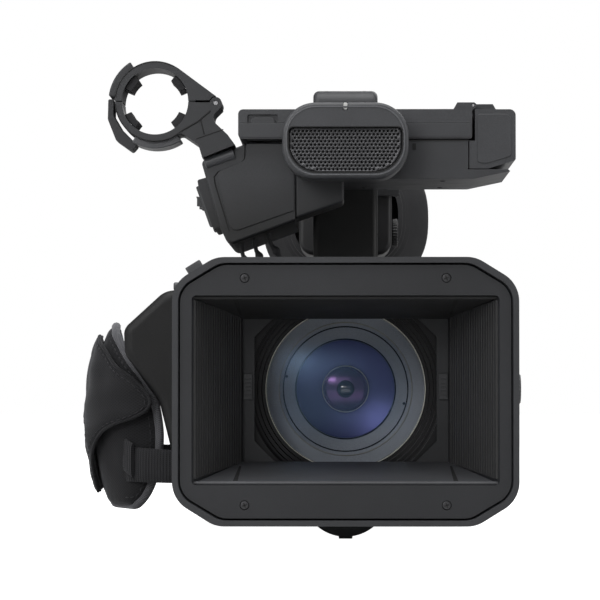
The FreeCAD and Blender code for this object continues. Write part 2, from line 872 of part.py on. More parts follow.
def make_main_board():
    node("main_board", block("main_board", S.body_left - 12, -30, 20, 1.6, 100, 76))


def make_card_door():
    body = new_body("card_door")
    start = S.body_rear + S.rear_thick + S.part_gap
    right = S.body_left - 3.4
    pad(body, "XZ", start, S.card_door_thick,
        rectangle(right - S.card_door_width, 28, right, 28 + S.card_door_tall, 2))
    node("card_door", body)


make_body_shell("body_left_shell", S.body_split + 0.05, S.body_left, 1)
make_body_shell("body_right_shell", S.body_split - 0.05, -S.body_right, -1)
make_base_plate()
make_rear_panel()
make_battery_pack()
make_main_board()
make_card_door()

# ---------------------------------------------------------------- left side controls

PANEL_IN = S.body_left + S.seat_gap
PANEL_OUT = PANEL_IN + S.panel_thick
ND_PLACE = (-46, 84)
BUTTON_PLACES = ((-48, 52),)
LEVEL_PLACES = ((30, 61), (52, 61))
DOOR_START = 17
DOOR_LOW = 46


def make_control_panel():
    body = new_body("control_panel")
    pad(body, "YZ", PANEL_IN, S.panel_thick,
        [(-60, 24, 6), (82, 24, 6), (82, 100, 6), (-60, 100, 12)])
    round_edges(body, 0.8, at("X", PANEL_OUT))
    bore(body, "YZ", PANEL_IN, S.panel_thick, *ND_PLACE, S.dial_shaft + S.running_gap)
    for place in BUTTON_PLACES:
        bore(body, "YZ", PANEL_IN, S.panel_thick, *place, S.button_radius + S.part_gap)
    for place in LEVEL_PLACES:
        bore(body, "YZ", PANEL_IN, S.panel_thick, *place, S.dial_shaft + S.running_gap)
    node("control_panel", body)


def make_knob(label, place, radius, tall):
    """A knob on the control panel, with its shaft in the panel's hole."""
    knob = rod(f"{label}_knob", "X", PANEL_OUT + 0.3, place[0], place[1], radius, tall)
    shaft = rod(f"{label}_shaft", "X", PANEL_IN + 0.2, place[0], place[1], S.dial_shaft, S.panel_thick + 1)
    node(label, fuse(label, knob, shaft))


def make_assign_button(label, place):
    body = new_body(label)
    start = PANEL_IN + 1
    pad_round(body, "YZ", start, PANEL_OUT + S.button_proud - start, place[0], place[1], S.button_radius)
    round_edges(body, 0.5, at("X", PANEL_OUT + S.button_proud))
    node(label, body)


def make_audio_door():
    """A clear lid over the two level dials, hinged at its lower edge."""
    body = new_body("audio_door")
    start = PANEL_OUT + 0.5
    end = DOOR_START + S.audio_door_length
    high = DOOR_LOW + S.audio_door_tall
    pad(body, "YZ", start, S.audio_door_deep, rectangle(DOOR_START, DOOR_LOW, end, high, 2))
    wall = S.audio_door_wall
    pocket(body, "YZ", start, S.audio_door_deep - wall,
           rectangle(DOOR_START + wall, DOOR_LOW + wall, end - wall, high - wall, 1))
    node("audio_door", body)


make_control_panel()
make_knob("nd_dial", ND_PLACE, S.dial_radius, S.dial_tall)
for number, place in enumerate(BUTTON_PLACES, start=1):
    make_assign_button(f"assign_button_{number}", place)
for number, place in enumerate(LEVEL_PLACES, start=1):
    make_knob(f"audio_dial_{number}", place, S.level_radius, 4)
make_audio_door()

# ---------------------------------------------------------------- grip and hand strap

GRIP_IN = -S.body_right - S.seat_gap


def make_grip_shell():
    body = new_body("grip_shell_body")
    length = S.grip_front + S.grip_rear
    pad(body, "XZ", -S.grip_front, length,
        [(GRIP_IN, 12), (GRIP_IN, 103, 1), (-62, 104, 12), (-78, 102, 10), (-95.5, 86, 6), (-95, 75, 8),
         (-80, 54, 14), (-74, 30, 12), (-66, 12, 10)])
    round_edges(body, 4, all_of(at("Y", -S.grip_front), lambda edge: edge.CenterOfMass.x < -50))
    well = block("rocker_well", -74 - S.rocker_width / 2 + 6, -54, 101, S.rocker_width + 1.2, S.rocker_length + 4, 12)
    seat = rod("record_seat", "Y", -66, S.grip_rear - 3, 84, S.record_radius + S.part_gap, 6)
    inside = block("grip_inside", -64, -S.grip_front + 4, 18, 64 + GRIP_IN + 1, 88, 76)
    deeper = block("grip_deeper", -76, -S.grip_front + 6, 50, 13, 84, 40)
    node("grip_shell", cut("grip_shell", body, well, seat, inside, deeper))


def make_zoom_rocker():
    """A see-saw with its pivot across the grip."""
    body = new_body("zoom_rocker")
    start = -74 - S.rocker_width / 2 + 6.6
    mid = -54 + (S.rocker_length + 4) / 2
    half = S.rocker_length / 2
    low = 101.3
    profile = [(mid - half, low + 2.2), (mid, low), (mid + half, low + 2.2), (mid + half, low + 5.4, 1.5),
               (mid + 7, low + 4.2, 6), (mid - 7, low + 4.2, 6), (mid - half, low + 5.4, 1.5)]
    pad(body, "YZ", start, S.rocker_width, profile)
    round_edges(body, 0.8, all_of(at("X", start), lambda edge: edge.CenterOfMass.z > SIZES["body_top"] - 7))
    node("zoom_rocker", body)


def make_rec_button():
    body = new_body("rec_button")
    start = S.grip_rear - 1.6
    pad_round(body, "XZ", start, 3.4, -66, 84, S.record_radius)
    round_edges(body, 0.7, at("Y", start + 3.4))
    node("rec_button", body)


STRAP_LINE = ((-80, -62), (-92, -60), (-103, -44), (-106.5, -16), (-102, 12), (-88, 30))


def strap_band(label, low, high, inner, outer, line):
    """A band round the back of the hand, drawn in plan between two offsets of its line."""
    body = new_body(label)
    points = [Vector(x, y, 0) for x, y in line]
    normals = []
    for i, point in enumerate(points):
        before = points[max(i - 1, 0)]
        after = points[min(i + 1, len(points) - 1)]
        way = (after - before).normalize()
        normals.append(Vector(-way.y, way.x, 0) * -1)
    outside = [point - side * outer for point, side in zip(points, normals)]
    inside = [point - side * inner for point, side in zip(points, normals)]
    corners = []
    for ring in (outside, list(reversed(inside))):
        for i, point in enumerate(ring):
            middle = 0 < i < len(ring) - 1
            corners.append((point.x, point.y, 9) if middle else (point.x, point.y))
    pad(body, "XY", low, high - low, corners)
    return body


def make_strap():
    """The pad behind the hand and the flap over it, cut back to clear the grip."""
    pad_room = new_body("pad_room")
    pad(pad_room, "XZ", -90, 150,
        [(-60, 120), (-110, 120), (-104.5, 89), (-98, 76), (-84, 57), (-79, 45), (-80, 32), (-84, 20), (-92, 8), (-60, 8)])
    flap_room = new_body("flap_room")
    pad(flap_room, "XZ", -90, 150,
        [(-60, 120), (-110, 120), (-103, 84), (-96, 70), (-87, 53), (-93, 45), (-99, 24), (-100.5, 13), (-60, 13)])
    band = strap_band("pad_band", S.pad_low, S.pad_high, -4, 4, STRAP_LINE)
    node("strap_pad", cut("strap_pad", band, pad_room))
    cover = strap_band("flap_band", S.flap_low, S.flap_high, 4.5, 8.6, STRAP_LINE[1:-1])
    node("strap_flap", cut("strap_flap", cover, flap_room))


def make_strap_webbing():
    """The strap's fixed ends, from the pad to the grip's front."""
    low = S.web_low
    front = block("webbing_front", -92, -S.grip_front - 4.4, low, 22, 2.4, S.web_high - low)
    rear = block("webbing_rear", -86, S.grip_rear + 1.2, low, 20, 2.4, S.web_high - low)
    node("strap_webbing", group("strap_webbing", [front, rear]))


make_grip_shell()
make_zoom_rocker()
make_rec_button()
make_strap()
make_strap_webbing()

# ---------------------------------------------------------------- top handle

HANDLE_FRONT = -S.handle_front
HANDLE_FOOT = S.body_top + S.seat_gap
SHOE_START = 10
FINDER_LOW = S.finder_height - S.finder_tall / 2
FINDER_HIGH = S.finder_height + S.finder_tall / 2
FINDER_AXIS_Z = FINDER_HIGH - 3.6


def make_handle_shell():
    body = new_body("handle_shell")
    half = S.handle_width / 2
    span_front = HANDLE_FRONT + S.column_front
    span_rear = S.handle_rear - S.column_rear
    pad(body, "YZ", -half, S.handle_width,
        [(HANDLE_FRONT, HANDLE_FOOT), (span_front, HANDLE_FOOT), (span_front, S.handle_under, 14),
         (span_rear, S.handle_under, 14), (span_rear, HANDLE_FOOT), (S.handle_rear, HANDLE_FOOT),
         (S.handle_rear, S.handle_top, 8), (HANDLE_FRONT, S.handle_top, 6)])
    for side in (-1, 1):
        round_edges(body, 2.6, all_of(at("X", half * side),
                                      lambda edge: edge.CenterOfMass.z > SIZES["body_top"] + 1))
    bore(body, "XY", S.handle_top - 3, 3, 0, -50, S.record_radius + S.part_gap)
    pocket(body, "XY", S.handle_top - 4, 4, rectangle(-5, -36, 5, -12, 2))
    bracket, holes = finder_bracket()
    node("handle_shell", cut("handle_shell", fuse("handle_shell", body, *bracket), *holes))


def finder_bracket():
    """The bracket on the handle's rear that the viewfinder tilts on."""
    inner = S.finder_width / 2 + S.part_gap
    wide = inner + 3
    start = S.handle_rear - 1
    low = FINDER_HIGH - 14
    pieces = [block("mount_plate", -wide, start, low, wide * 2, 3, 12)]
    holes = []
    for side in (-1, 1):
        ear_start = inner if side > 0 else -wide
        ear = new_body("mount_ear")
        pad(ear, "YZ", ear_start, 3, [(start, low), (S.finder_pivot + 1, low, 2),
                                      (S.finder_pivot + 4, FINDER_AXIS_Z + 3, 2.8), (start, FINDER_HIGH - 2)])
        pieces.append(ear)
        holes.append(rod("ear_hole", "X", ear_start - 1, S.finder_pivot, FINDER_AXIS_Z, 1.5 + S.running_gap, 5))
    return pieces, holes


def make_handle_rec_button():
    body = new_body("handle_rec_button")
    start = S.handle_top - 1.8
    pad_round(body, "XY", start, 3, 0, -50, S.record_radius)
    round_edges(body, 0.7, at("Z", start + 3))
    node("handle_rec_button", body)


def make_handle_zoom_rocker():
    body = new_body("handle_zoom_rocker")
    low = S.handle_top - 3.7
    profile = [(-35, low + 1.6), (-24, low), (-13, low + 1.6), (-13, low + 5, 1), (-24, low + 4, 20), (-35, low + 5, 1)]
    pad(body, "YZ", -4.4, 8.8, profile)
    node("handle_zoom_rocker", body)


def make_accessory_shoe():
    body = new_body("accessory_shoe")
    half = S.shoe_width / 2
    slot = S.shoe_slot / 2
    lip = slot - 3.1
    low = S.handle_top + S.seat_gap
    profile = [(-half, low), (half, low), (half, low + 5.4), (lip, low + 5.4), (lip, low + 4), (slot, low + 4),
               (slot, low + 1.6), (-slot, low + 1.6), (-slot, low + 4), (-lip, low + 4), (-lip, low + 5.4),
               (-half, low + 5.4)]
    pad(body, "XZ", SHOE_START, S.shoe_length, profile)
    node("accessory_shoe", body)


make_handle_shell()
make_handle_rec_button()
make_handle_zoom_rocker()
make_accessory_shoe()

# ---------------------------------------------------------------- microphone pod

POD_FRONT = -S.pod_front
POD_REAR = -S.pod_rear
GRILLE_START = POD_FRONT + 1.2


def grille_outline(inset):
    half = S.grille_width / 2 - inset
    low = S.grille_low + inset
    high = S.grille_high - inset
    return [(-half, low, S.grille_round - inset), (half, low, S.grille_round - inset),
            (half, high, 2), (-half, high, 2)]


def make_mic_pod():
    body = new_body("mic_pod")
    half = S.pod_width / 2
    pad(body, "XZ", POD_FRONT, POD_REAR - POD_FRONT, rectangle(-half, S.pod_low, half, S.pod_high, S.pod_round))
    round_edges(body, 1.6, at("Y", POD_FRONT))
    pocket(body, "XZ", POD_FRONT, 6, grille_outline(as_size(0)))
    lamp = S.lamp_width / 2 + S.seat_gap
    pocket(body, "XZ", POD_FRONT, 5, rectangle(-lamp, S.pod_high - 3.2, lamp, S.pod_high + 1))
    node("mic_pod", body)


def make_mic_grille():
    body = new_body("mic_grille")
    pad(body, "XZ", GRILLE_START, 1, grille_outline(S.seat_gap * 2))
    node("mic_grille", body)


def make_tally_lamp():
    half = S.lamp_width / 2
    body = new_body("tally_lamp")
    pad(body, "XZ", POD_FRONT + 0.5, 4.2, rectangle(-half, S.pod_high - 3, half, S.pod_high - 0.1, 0.7))
    node("tally_lamp", body)


make_mic_pod()
make_mic_grille()
make_tally_lamp()

# ---------------------------------------------------------------- screen

SCREEN_FRONT = -S.screen_front
SCREEN_REAR = -S.screen_rear
SCREEN_LONG = SCREEN_REAR - SCREEN_FRONT
KNUCKLES = {"lcd_panel": ((0, 8), (44, 52)), "lcd_hinge_block": ((8.4, 16.4), (52.4, 60.4))}


def make_lcd_tray():
    body = new_body("lcd_tray")
    start = POD_REAR + 0.2
    end = HANDLE_FRONT - 0.2
    low = S.tray_low
    pad(body, "XZ", start, end - start,
        [(-20.2, low + 1.6), (-18, low), (49.8, low), (49.8, S.tray_high), (-20.2, S.tray_high)])
    under = low - S.part_gap
    pad(body, "XZ", start, end - start,
        [(-12, low + 0.5), (-10, low - S.tray_rib), (52, low - S.tray_rib), (66.8, low - 1.1), (66, under),
         (49.6, under), (49.6, low + 0.5)])
    node("lcd_tray", body)


def hinge_bump(label, left, right, slope_left, slope_right, start, end):
    """A hinge boss on top of the screen or of its block."""
    base = S.screen_high - 0.4
    top = S.hinge_rise + S.knuckle_radius
    item = new_body(f"{label}_bump")
    pad(item, "XZ", start, end - start, [(left, base), (right, base), (right - slope_right, top), (left + slope_left, top)])
    return item


def knuckle_spans(label):
    return [(SCREEN_FRONT + 2 + first, SCREEN_FRONT + 2 + last) for first, last in KNUCKLES[label]]


def make_lcd_hinge_block():
    body = new_body("lcd_hinge_block_body")
    left = S.hinge_block_left
    inner = S.hinge_across + 0.6
    pad(body, "XZ", SCREEN_FRONT, SCREEN_LONG,
        [(50.2, S.tray_low), (58, S.tray_low), (left, S.tray_low + 3.4, 1), (left, S.screen_high - 0.1, 2.5),
         (inner, S.screen_high - 0.1), (inner, S.tray_high), (50.2, S.tray_high)])
    pieces = [body]
    holes = []
    for start, end in knuckle_spans("lcd_hinge_block"):
        pieces.append(hinge_bump("block", S.hinge_across, 62.2, 0.3, 1.9, start, end))
        pieces.append(rod("block_knuckle", "Y", S.hinge_across, start, S.hinge_rise, S.knuckle_radius, end - start))
        holes.append(rod("block_eye", "Y", S.hinge_across, start - 1, S.hinge_rise, S.pin_radius + S.running_gap, end - start + 2))
    whole = fuse("lcd_hinge_block", *pieces)
    node("lcd_hinge_block", cut("lcd_hinge_block", whole, *holes))


def make_lcd_panel():
    body = new_body("lcd_panel_body")
    left = -S.screen_left
    right = S.screen_right
    pad(body, "XZ", SCREEN_FRONT, SCREEN_LONG,
        [(left, S.screen_low, 2), (right, S.screen_low, 1), (right, S.screen_high, 0.5), (left, S.screen_high, 2)])
    pocket(body, "XY", S.screen_low, 1.4,
           rectangle(left + 8, SCREEN_FRONT + 9, right - 11, SCREEN_REAR - 8, 1.5))
    pocket(body, "XZ", SCREEN_FRONT, 1.2, rectangle(left + 3.7, S.screen_low + 3.1, left + 16.2, S.screen_high - 2.1, 1))
    pieces = [body]
    holes = []
    for start, end in knuckle_spans("lcd_panel"):
        pieces.append(hinge_bump("panel", 43.6, S.hinge_across, 1.9, 0.3, start, end))
        pieces.append(rod("panel_knuckle", "Y", S.hinge_across, start, S.hinge_rise, S.knuckle_radius, end - start))
        holes.append(rod("panel_eye", "Y", S.hinge_across, start - 1, S.hinge_rise, S.pin_radius + S.running_gap, end - start + 2))
    whole = fuse("lcd_panel", *pieces)
    node("lcd_panel", cut("lcd_panel", whole, *holes))


def make_lcd_screen():
    body = new_body("lcd_screen")
    gap = S.seat_gap
    left = -S.screen_left + 8 + gap
    right = S.screen_right - 11 - gap
    pad(body, "XY", S.screen_low + 0.2, 1.1, rectangle(left, SCREEN_FRONT + 9 + gap, right, SCREEN_REAR - 8 - gap, 1.4))
    node("lcd_screen", body)


make_lcd_tray()
make_lcd_hinge_block()
make_lcd_panel()
make_lcd_screen()

# ---------------------------------------------------------------- audio input box

BOX_FRONT = -S.box_front
BOX_REAR = -S.box_rear
SOCKET_PLACES = ((-44.6, 136.6), (-28.4, 142.4))
SWITCH_STARTS = (-130, -108)


def make_audio_box():
    body = new_body("audio_box_body")
    pad(body, "XZ", BOX_FRONT, BOX_REAR - BOX_FRONT,
        [(-20.5, 160.6), (-39, 160.6, 2), (-58.9, 152.9, 2), (-51.2, 126, 3), (-47.6, 118.3, 3), (-20.5, 128.4)])
    round_edges(body, 1.2, all_of(at("Y", BOX_FRONT), lambda edge: edge.CenterOfMass.x < -20.6))
    guard = new_body("switch_guard")
    pad(guard, "XZ", BOX_FRONT + 4, 52,
        [(-56.4, 146.6), (-60.6, 145.4, 0.8), (-60.2, 143, 0.8), (-54, 125.2, 0.8), (-50.8, 126.4)])
    windows = []
    for start in SWITCH_STARTS:
        window = new_body("switch_window")
        pad(window, "XZ", start, 16, [(-60.5, 128.6), (-51.8, 129.6), (-56.2, 143.4), (-66, 142)])
        windows.append(window)
    sockets = [rod("socket_bore", "Y", x, BOX_REAR - S.socket_deep, z, S.socket_radius, S.socket_deep + 1)
               for x, z in SOCKET_PLACES]
    whole = fuse("audio_box", body, guard)
    node("audio_box", cut("audio_box", whole, *windows, *sockets))


def make_input_switch(label, start):
    body = new_body(label)
    pad(body, "XZ", start + 5, 6, [(-53.7, 133.7), (-60.2, 135), (-61.6, 139.4), (-55.2, 138.4)])
    node(label, body)


def make_cap_tethers():
    """Three soft straps of the socket caps, hanging below the box."""
    straps = []
    for x, top, way in ((-44, 119.3, 1), (-38.6, 121.3, 1), (-33, 123.4, 1)):
        strap = new_body("tether")
        thick = 2.1
        points = [(x, top), (x + 1.2 * way, top - 4), (x + 0.4, top - 7), (x + 3.2 * way, top - 11)]
        outer = [(px, pz) for px, pz in points]
        inner = [(px + thick, pz + 0.7) for px, pz in reversed(points)]
        pad(strap, "XZ", -124, 5, outer + inner)
        straps.append(strap)
    node("cap_tethers", group("cap_tethers", straps))


make_audio_box()
for number, start in enumerate(SWITCH_STARTS, start=1):
    make_input_switch(f"input_switch_{number}", start)
make_cap_tethers()

# ---------------------------------------------------------------- microphone holder

CLAMP_FRONT = -S.clamp_front
CLAMP_LONG = S.clamp_front - S.clamp_rear
CLAMP_X = -S.clamp_across
CLAMP_Z = S.clamp_height
PIVOT_X = -S.clamp_pivot_across
PIVOT_Z = S.clamp_pivot_height


def clamp_cutters(label, knuckle_start, knuckle_end):
    """What every half of the clamp gives way to: the bore, the pin and the other half's knuckles."""
    inner = rod(f"{label}_bore", "Y", CLAMP_X, CLAMP_FRONT - 1, CLAMP_Z, S.clamp_inner, CLAMP_LONG + 2)
    eye = rod(f"{label}_eye", "Y", PIVOT_X, CLAMP_FRONT - 1, PIVOT_Z, S.clamp_pin + S.running_gap, CLAMP_LONG + 2)
    room = rod(f"{label}_room", "Y", PIVOT_X, knuckle_start, PIVOT_Z, S.clamp_knuckle + S.part_gap,
               knuckle_end - knuckle_start)
    return inner, eye, room


def make_clamp_lower():
    ring = rod("lower_ring", "Y", CLAMP_X, CLAMP_FRONT, CLAMP_Z, S.clamp_radius, CLAMP_LONG)
    web = new_body("lower_web")
    pad(web, "XZ", CLAMP_FRONT, CLAMP_LONG,
        [(-66, 176.4), (-70, 163.5), (-66.4, 163.8, 2), (-59.8, 159.3), (-58.2, 153.9), (-44.9, 159.2), (-47.9, 163.3),
         (-55, 170, 3), (-50.4, 174.6), (-52.7, 176.4)])
    knuckle = rod("lower_knuckle", "Y", PIVOT_X, CLAMP_FRONT, PIVOT_Z, S.clamp_knuckle, CLAMP_LONG)
    top = block("lower_top", CLAMP_X - 20, CLAMP_FRONT - 1, CLAMP_Z - 0.2, 41, CLAMP_LONG + 2, 24)
    inner, eye, room = clamp_cutters("lower", CLAMP_FRONT + 8, CLAMP_FRONT + 15)
    whole = fuse("clamp_lower", cut("clamp_lower", fuse("lower_arc", ring, web), top), knuckle)
    node("clamp_lower", cut("clamp_lower", whole, inner, eye, room))


def make_clamp_upper():
    ring = rod("upper_ring", "Y", CLAMP_X, CLAMP_FRONT, CLAMP_Z, S.clamp_radius, CLAMP_LONG)
    web = new_body("upper_web")
    pad(web, "XZ", CLAMP_FRONT, CLAMP_LONG,
        [(-70, CLAMP_Z + 0.4), (-54.6, CLAMP_Z + 0.4), (-52, PIVOT_Z + 2.3), (-68, 190.4), (-74, 190.6)])
    low = block("upper_low", CLAMP_X - 20, CLAMP_FRONT - 1, CLAMP_Z - 24, 41, CLAMP_LONG + 2, 24.2)
    knuckle = rod("upper_knuckle", "Y", PIVOT_X, CLAMP_FRONT + 8.3, PIVOT_Z, S.clamp_knuckle, 6.4)
    arc = cut("clamp_upper", fuse("upper_arc", ring, web), low)
    inner, eye, front_room = clamp_cutters("upper", CLAMP_FRONT - 1, CLAMP_FRONT + 8.3)
    rear_room = rod("upper_room", "Y", PIVOT_X, CLAMP_FRONT + 14.7, PIVOT_Z, S.clamp_knuckle + S.part_gap, 10)
    arc = cut("clamp_upper", arc, front_room, rear_room)
    node("clamp_upper", cut("clamp_upper", fuse("clamp_upper", arc, knuckle), inner, eye))


def make_clamp_pads(label, angles):
    """Rubber blocks that hold the microphone's tube."""
    pads = []
    reach = S.clamp_inner - 0.1
    length = CLAMP_LONG - 4
    for angle in angles:
        ring = rod("pad_ring", "Y", CLAMP_X, CLAMP_FRONT + 2, CLAMP_Z, reach, length)
        hole = rod("pad_hole", "Y", CLAMP_X, CLAMP_FRONT + 1, CLAMP_Z, S.clamp_hold, length + 2)
        wedge = new_body("pad_wedge")
        spread = 15
        corners = [(0, 0)]
        for turn in (angle - spread, angle + spread):
            way = math.radians(turn)
            corners.append((20 * math.cos(way), 20 * math.sin(way)))
        pad(wedge, "XZ", CLAMP_FRONT + 2, length, corners)
        put(wedge, CLAMP_X, 0, CLAMP_Z)
        common = doc.addObject("Part::Common", "clamp_pad")
        common.Base = cut("pad_arc", ring, hole)
        common.Tool = wedge
        pads.append(common)
    node(label, group(label, pads))


def make_clamp_latch():
    """The lever that hooks the two halves together, hinged under the ring."""
    body = new_body("clamp_latch")
    pad(body, "XZ", CLAMP_FRONT + 5, CLAMP_LONG - 10,
        [(-94.5, 178.2, 0.6), (-96.8, 178.2, 0.6), (-97, 170, 3), (-93.6, 161.4, 1.5), (-87.2, 156.8, 1),
         (-84.8, 159.4, 1), (-91.3, 166, 3), (-94.5, 171.5, 1)])
    node("clamp_latch", body)


def make_hinge_pins():
    clamp = rod("clamp_pin", "Y", PIVOT_X, CLAMP_FRONT + 0.2, PIVOT_Z, S.clamp_pin, CLAMP_LONG - 0.4)
    start = SCREEN_FRONT + 2
    screen = rod("screen_pin", "Y", S.hinge_across, start, S.hinge_rise, S.pin_radius, 60.4)
    node("hinge_pins", group("hinge_pins", [clamp, screen]))


make_clamp_lower()
make_clamp_upper()
make_clamp_pads("clamp_pads_lower", (218, 322))
make_clamp_pads("clamp_pads_upper", (38, 142))
make_clamp_latch()
make_hinge_pins()

# ---------------------------------------------------------------- viewfinder


def make_evf_housing():
    body = new_body("evf_housing_body")
    half = S.finder_width / 2
    pad(body, "XZ", S.finder_front, S.finder_rear - S.finder_front,
        rectangle(-half, FINDER_LOW, half, FINDER_HIGH, 7))
    round_edges(body, 2.2, at("Y", S.finder_front))
    bore(body, "XZ", S.finder_rear - 20, 20, 0, S.finder_height, 15.5)
    trunnion = rod("trunnion", "X", -half - 3.2, S.finder_pivot, FINDER_AXIS_Z, 1.5, S.finder_width + 6.4)
    node("evf_housing", fuse("evf_housing", body, trunnion))


def ellipse_wire(width, tall, place):
    """An upright ellipse across the viewfinder's axis."""
    ellipse = Part.Ellipse(Vector(0, 0, 0), width / 2, tall / 2).toShape()
    wire = Part.Wire([ellipse])
    wire.rotate(Vector(0, 0, 0), AXES["X"], 90)
    wire.translate(Vector(0, place, 0))
    return wire


def make_eyecup():
    """An oval rubber cup that flares backwards from the viewfinder."""
    start = SIZES["finder_rear"] + SIZES["seat_gap"]
    end = start + SIZES["cup_length"]
    wall = SIZES["cup_wall"]
    sections = ((SIZES["cup_neck_width"], SIZES["cup_neck_tall"], start),
                (SIZES["cup_neck_width"], SIZES["cup_neck_tall"], start + 7),
                (SIZES["cup_width"] - 6, SIZES["cup_tall"] - 6, end - 7),
                (SIZES["cup_width"], SIZES["cup_tall"], end))
    outside = Part.makeLoft([ellipse_wire(*section) for section in sections], True, True)
    inner = [(width - 2 * wall, tall - 2 * wall, place) for width, tall, place in sections]
    inside = Part.makeLoft([ellipse_wire(*section) for section in inner[1:]], True, True)
    window = Part.makeCylinder(14, 12, Vector(0, start - 2, 0), AXES["Y"])
    cup = doc.addObject("Part::Feature", "eyecup")
    cup.Shape = outside.cut(inside).cut(window)
    node("eyecup", put(cup, z=S.finder_height))


def make_eyepiece_lens():
    node("eyepiece_lens", rod("eyepiece_lens", "Y", 0, S.finder_rear - 5, S.finder_height, 15.4, 4))


def make_diopter_dial():
    body = new_body("diopter_dial")
    start = S.finder_width / 2 + S.part_gap
    pad_round(body, "YZ", start, 3, 104, FINDER_LOW + 12, 7)
    node("diopter_dial", body)


make_evf_housing()
make_eyecup()
make_eyepiece_lens()
make_diopter_dial()

# ---------------------------------------------------------------- checks and files

doc.recompute()
faults = [f"{item.Name}: {item.State}" for item in doc.Objects if {"Invalid", "Error"} & set(item.State)]
for label, item in NODES.items():
    if item.Shape.isNull() or not item.Shape.isValid() or not item.Shape.Solids:
        faults.append(f"{label}: no valid solid")
if faults:
    raise ValueError("; ".join(faults))

os.makedirs("parts", exist_ok=True)
for label, item in NODES.items():
    item.Shape.exportStep(os.path.join("parts", f"{label}.step"))
print(f"{len(NODES)} nodes written")
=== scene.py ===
import json
import math

import bmesh
import bpy
from mathutils import Matrix, Vector
from mathutils.geometry import delaunay_2d_cdt


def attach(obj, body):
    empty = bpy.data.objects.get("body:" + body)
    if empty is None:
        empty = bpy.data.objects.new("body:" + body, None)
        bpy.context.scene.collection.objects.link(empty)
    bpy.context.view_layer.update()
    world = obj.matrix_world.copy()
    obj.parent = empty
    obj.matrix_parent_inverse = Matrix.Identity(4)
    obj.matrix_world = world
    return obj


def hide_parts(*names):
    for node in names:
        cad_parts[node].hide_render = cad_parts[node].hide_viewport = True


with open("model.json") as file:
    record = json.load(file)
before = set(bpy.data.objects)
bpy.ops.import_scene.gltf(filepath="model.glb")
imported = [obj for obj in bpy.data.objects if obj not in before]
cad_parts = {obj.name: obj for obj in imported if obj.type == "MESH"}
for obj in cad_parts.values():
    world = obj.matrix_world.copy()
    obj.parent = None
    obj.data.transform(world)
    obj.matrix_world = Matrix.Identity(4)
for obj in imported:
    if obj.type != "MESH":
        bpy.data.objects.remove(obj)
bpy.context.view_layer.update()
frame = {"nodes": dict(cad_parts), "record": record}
nodes = frame["nodes"]
MM = 0.001
AXIS_Z = 0.060

# ---------------------------------------------------------------- camera, lights, floor

scene = bpy.context.scene
scene.view_settings.view_transform = "Standard"
scene.view_settings.look = "None"

cam = bpy.data.objects.new("view_camera", bpy.data.cameras.new("view_camera"))
scene.collection.objects.link(cam)
cam.location = (0, -1.425, AXIS_Z)
cam.rotation_euler = (Vector((-0.0173, -0.225, 0.0938)) - cam.location).to_track_quat("-Z", "Y").to_euler()
cam.data.lens = 189.5
cam.data.sensor_width = 36
scene.camera = cam


def area_light(name, place, aim, size, power, colour=(1, 1, 1)):
    data = bpy.data.lights.new(name, "AREA")
    data.shape = "RECTANGLE"
    data.size, data.size_y = size
    data.energy = power
    data.color = colour
    item = bpy.data.objects.new(name, data)
    scene.collection.objects.link(item)
    item.location = place
    item.rotation_euler = (Vector(aim) - Vector(place)).to_track_quat("-Z", "Y").to_euler()


area_light("top_soft_light", (0, -0.35, 1.35), (0, 0, 0.1), (1.6, 1.2), 21)
area_light("left_soft_light", (-1.3, -0.75, 0.75), (0, -0.1, 0.1), (0.9, 1.2), 8)
area_light("right_soft_light", (1.4, -0.6, 0.6), (0, -0.1, 0.1), (0.8, 1.2), 7)
area_light("front_soft_light", (-0.35, -2.1, 0.75), (0, -0.2, 0.08), (1.2, 0.8), 3.2)
area_light("lens_key_light", (-0.56, -1.25, 0.56), (0, -0.16, 0.06), (0.42, 0.42), 4.2)
area_light("back_soft_light", (0.5, 1.5, 1.0), (0, 0, 0.1), (1.2, 1.0), 10)

FILL_LIGHT = 0.2
world = bpy.data.worlds.new("studio")
scene.world = world
world.use_nodes = True
backdrop = world.node_tree.nodes["Background"]
backdrop.inputs["Color"].default_value = (1, 1, 1, 1)
ray = world.node_tree.nodes.new("ShaderNodeLightPath")
level = world.node_tree.nodes.new("ShaderNodeMapRange")
level.inputs["To Min"].default_value = FILL_LIGHT
world.node_tree.links.new(ray.outputs["Is Camera Ray"], level.inputs["Value"])
world.node_tree.links.new(level.outputs["Result"], backdrop.inputs["Strength"])


# ---------------------------------------------------------------- materials

def srgb(value):
    value /= 255
    return value / 12.92 if value <= 0.04045 else ((value + 0.055) / 1.055) ** 2.4


def tone(red, green, blue):
    return (srgb(red), srgb(green), srgb(blue), 1)


def shaded(colour, factor, lift=0.0):
    """A colour made lighter or darker by a factor, with a little light added."""
    return tuple(min(1, c * factor + lift) for c in colour[:3]) + (1,)


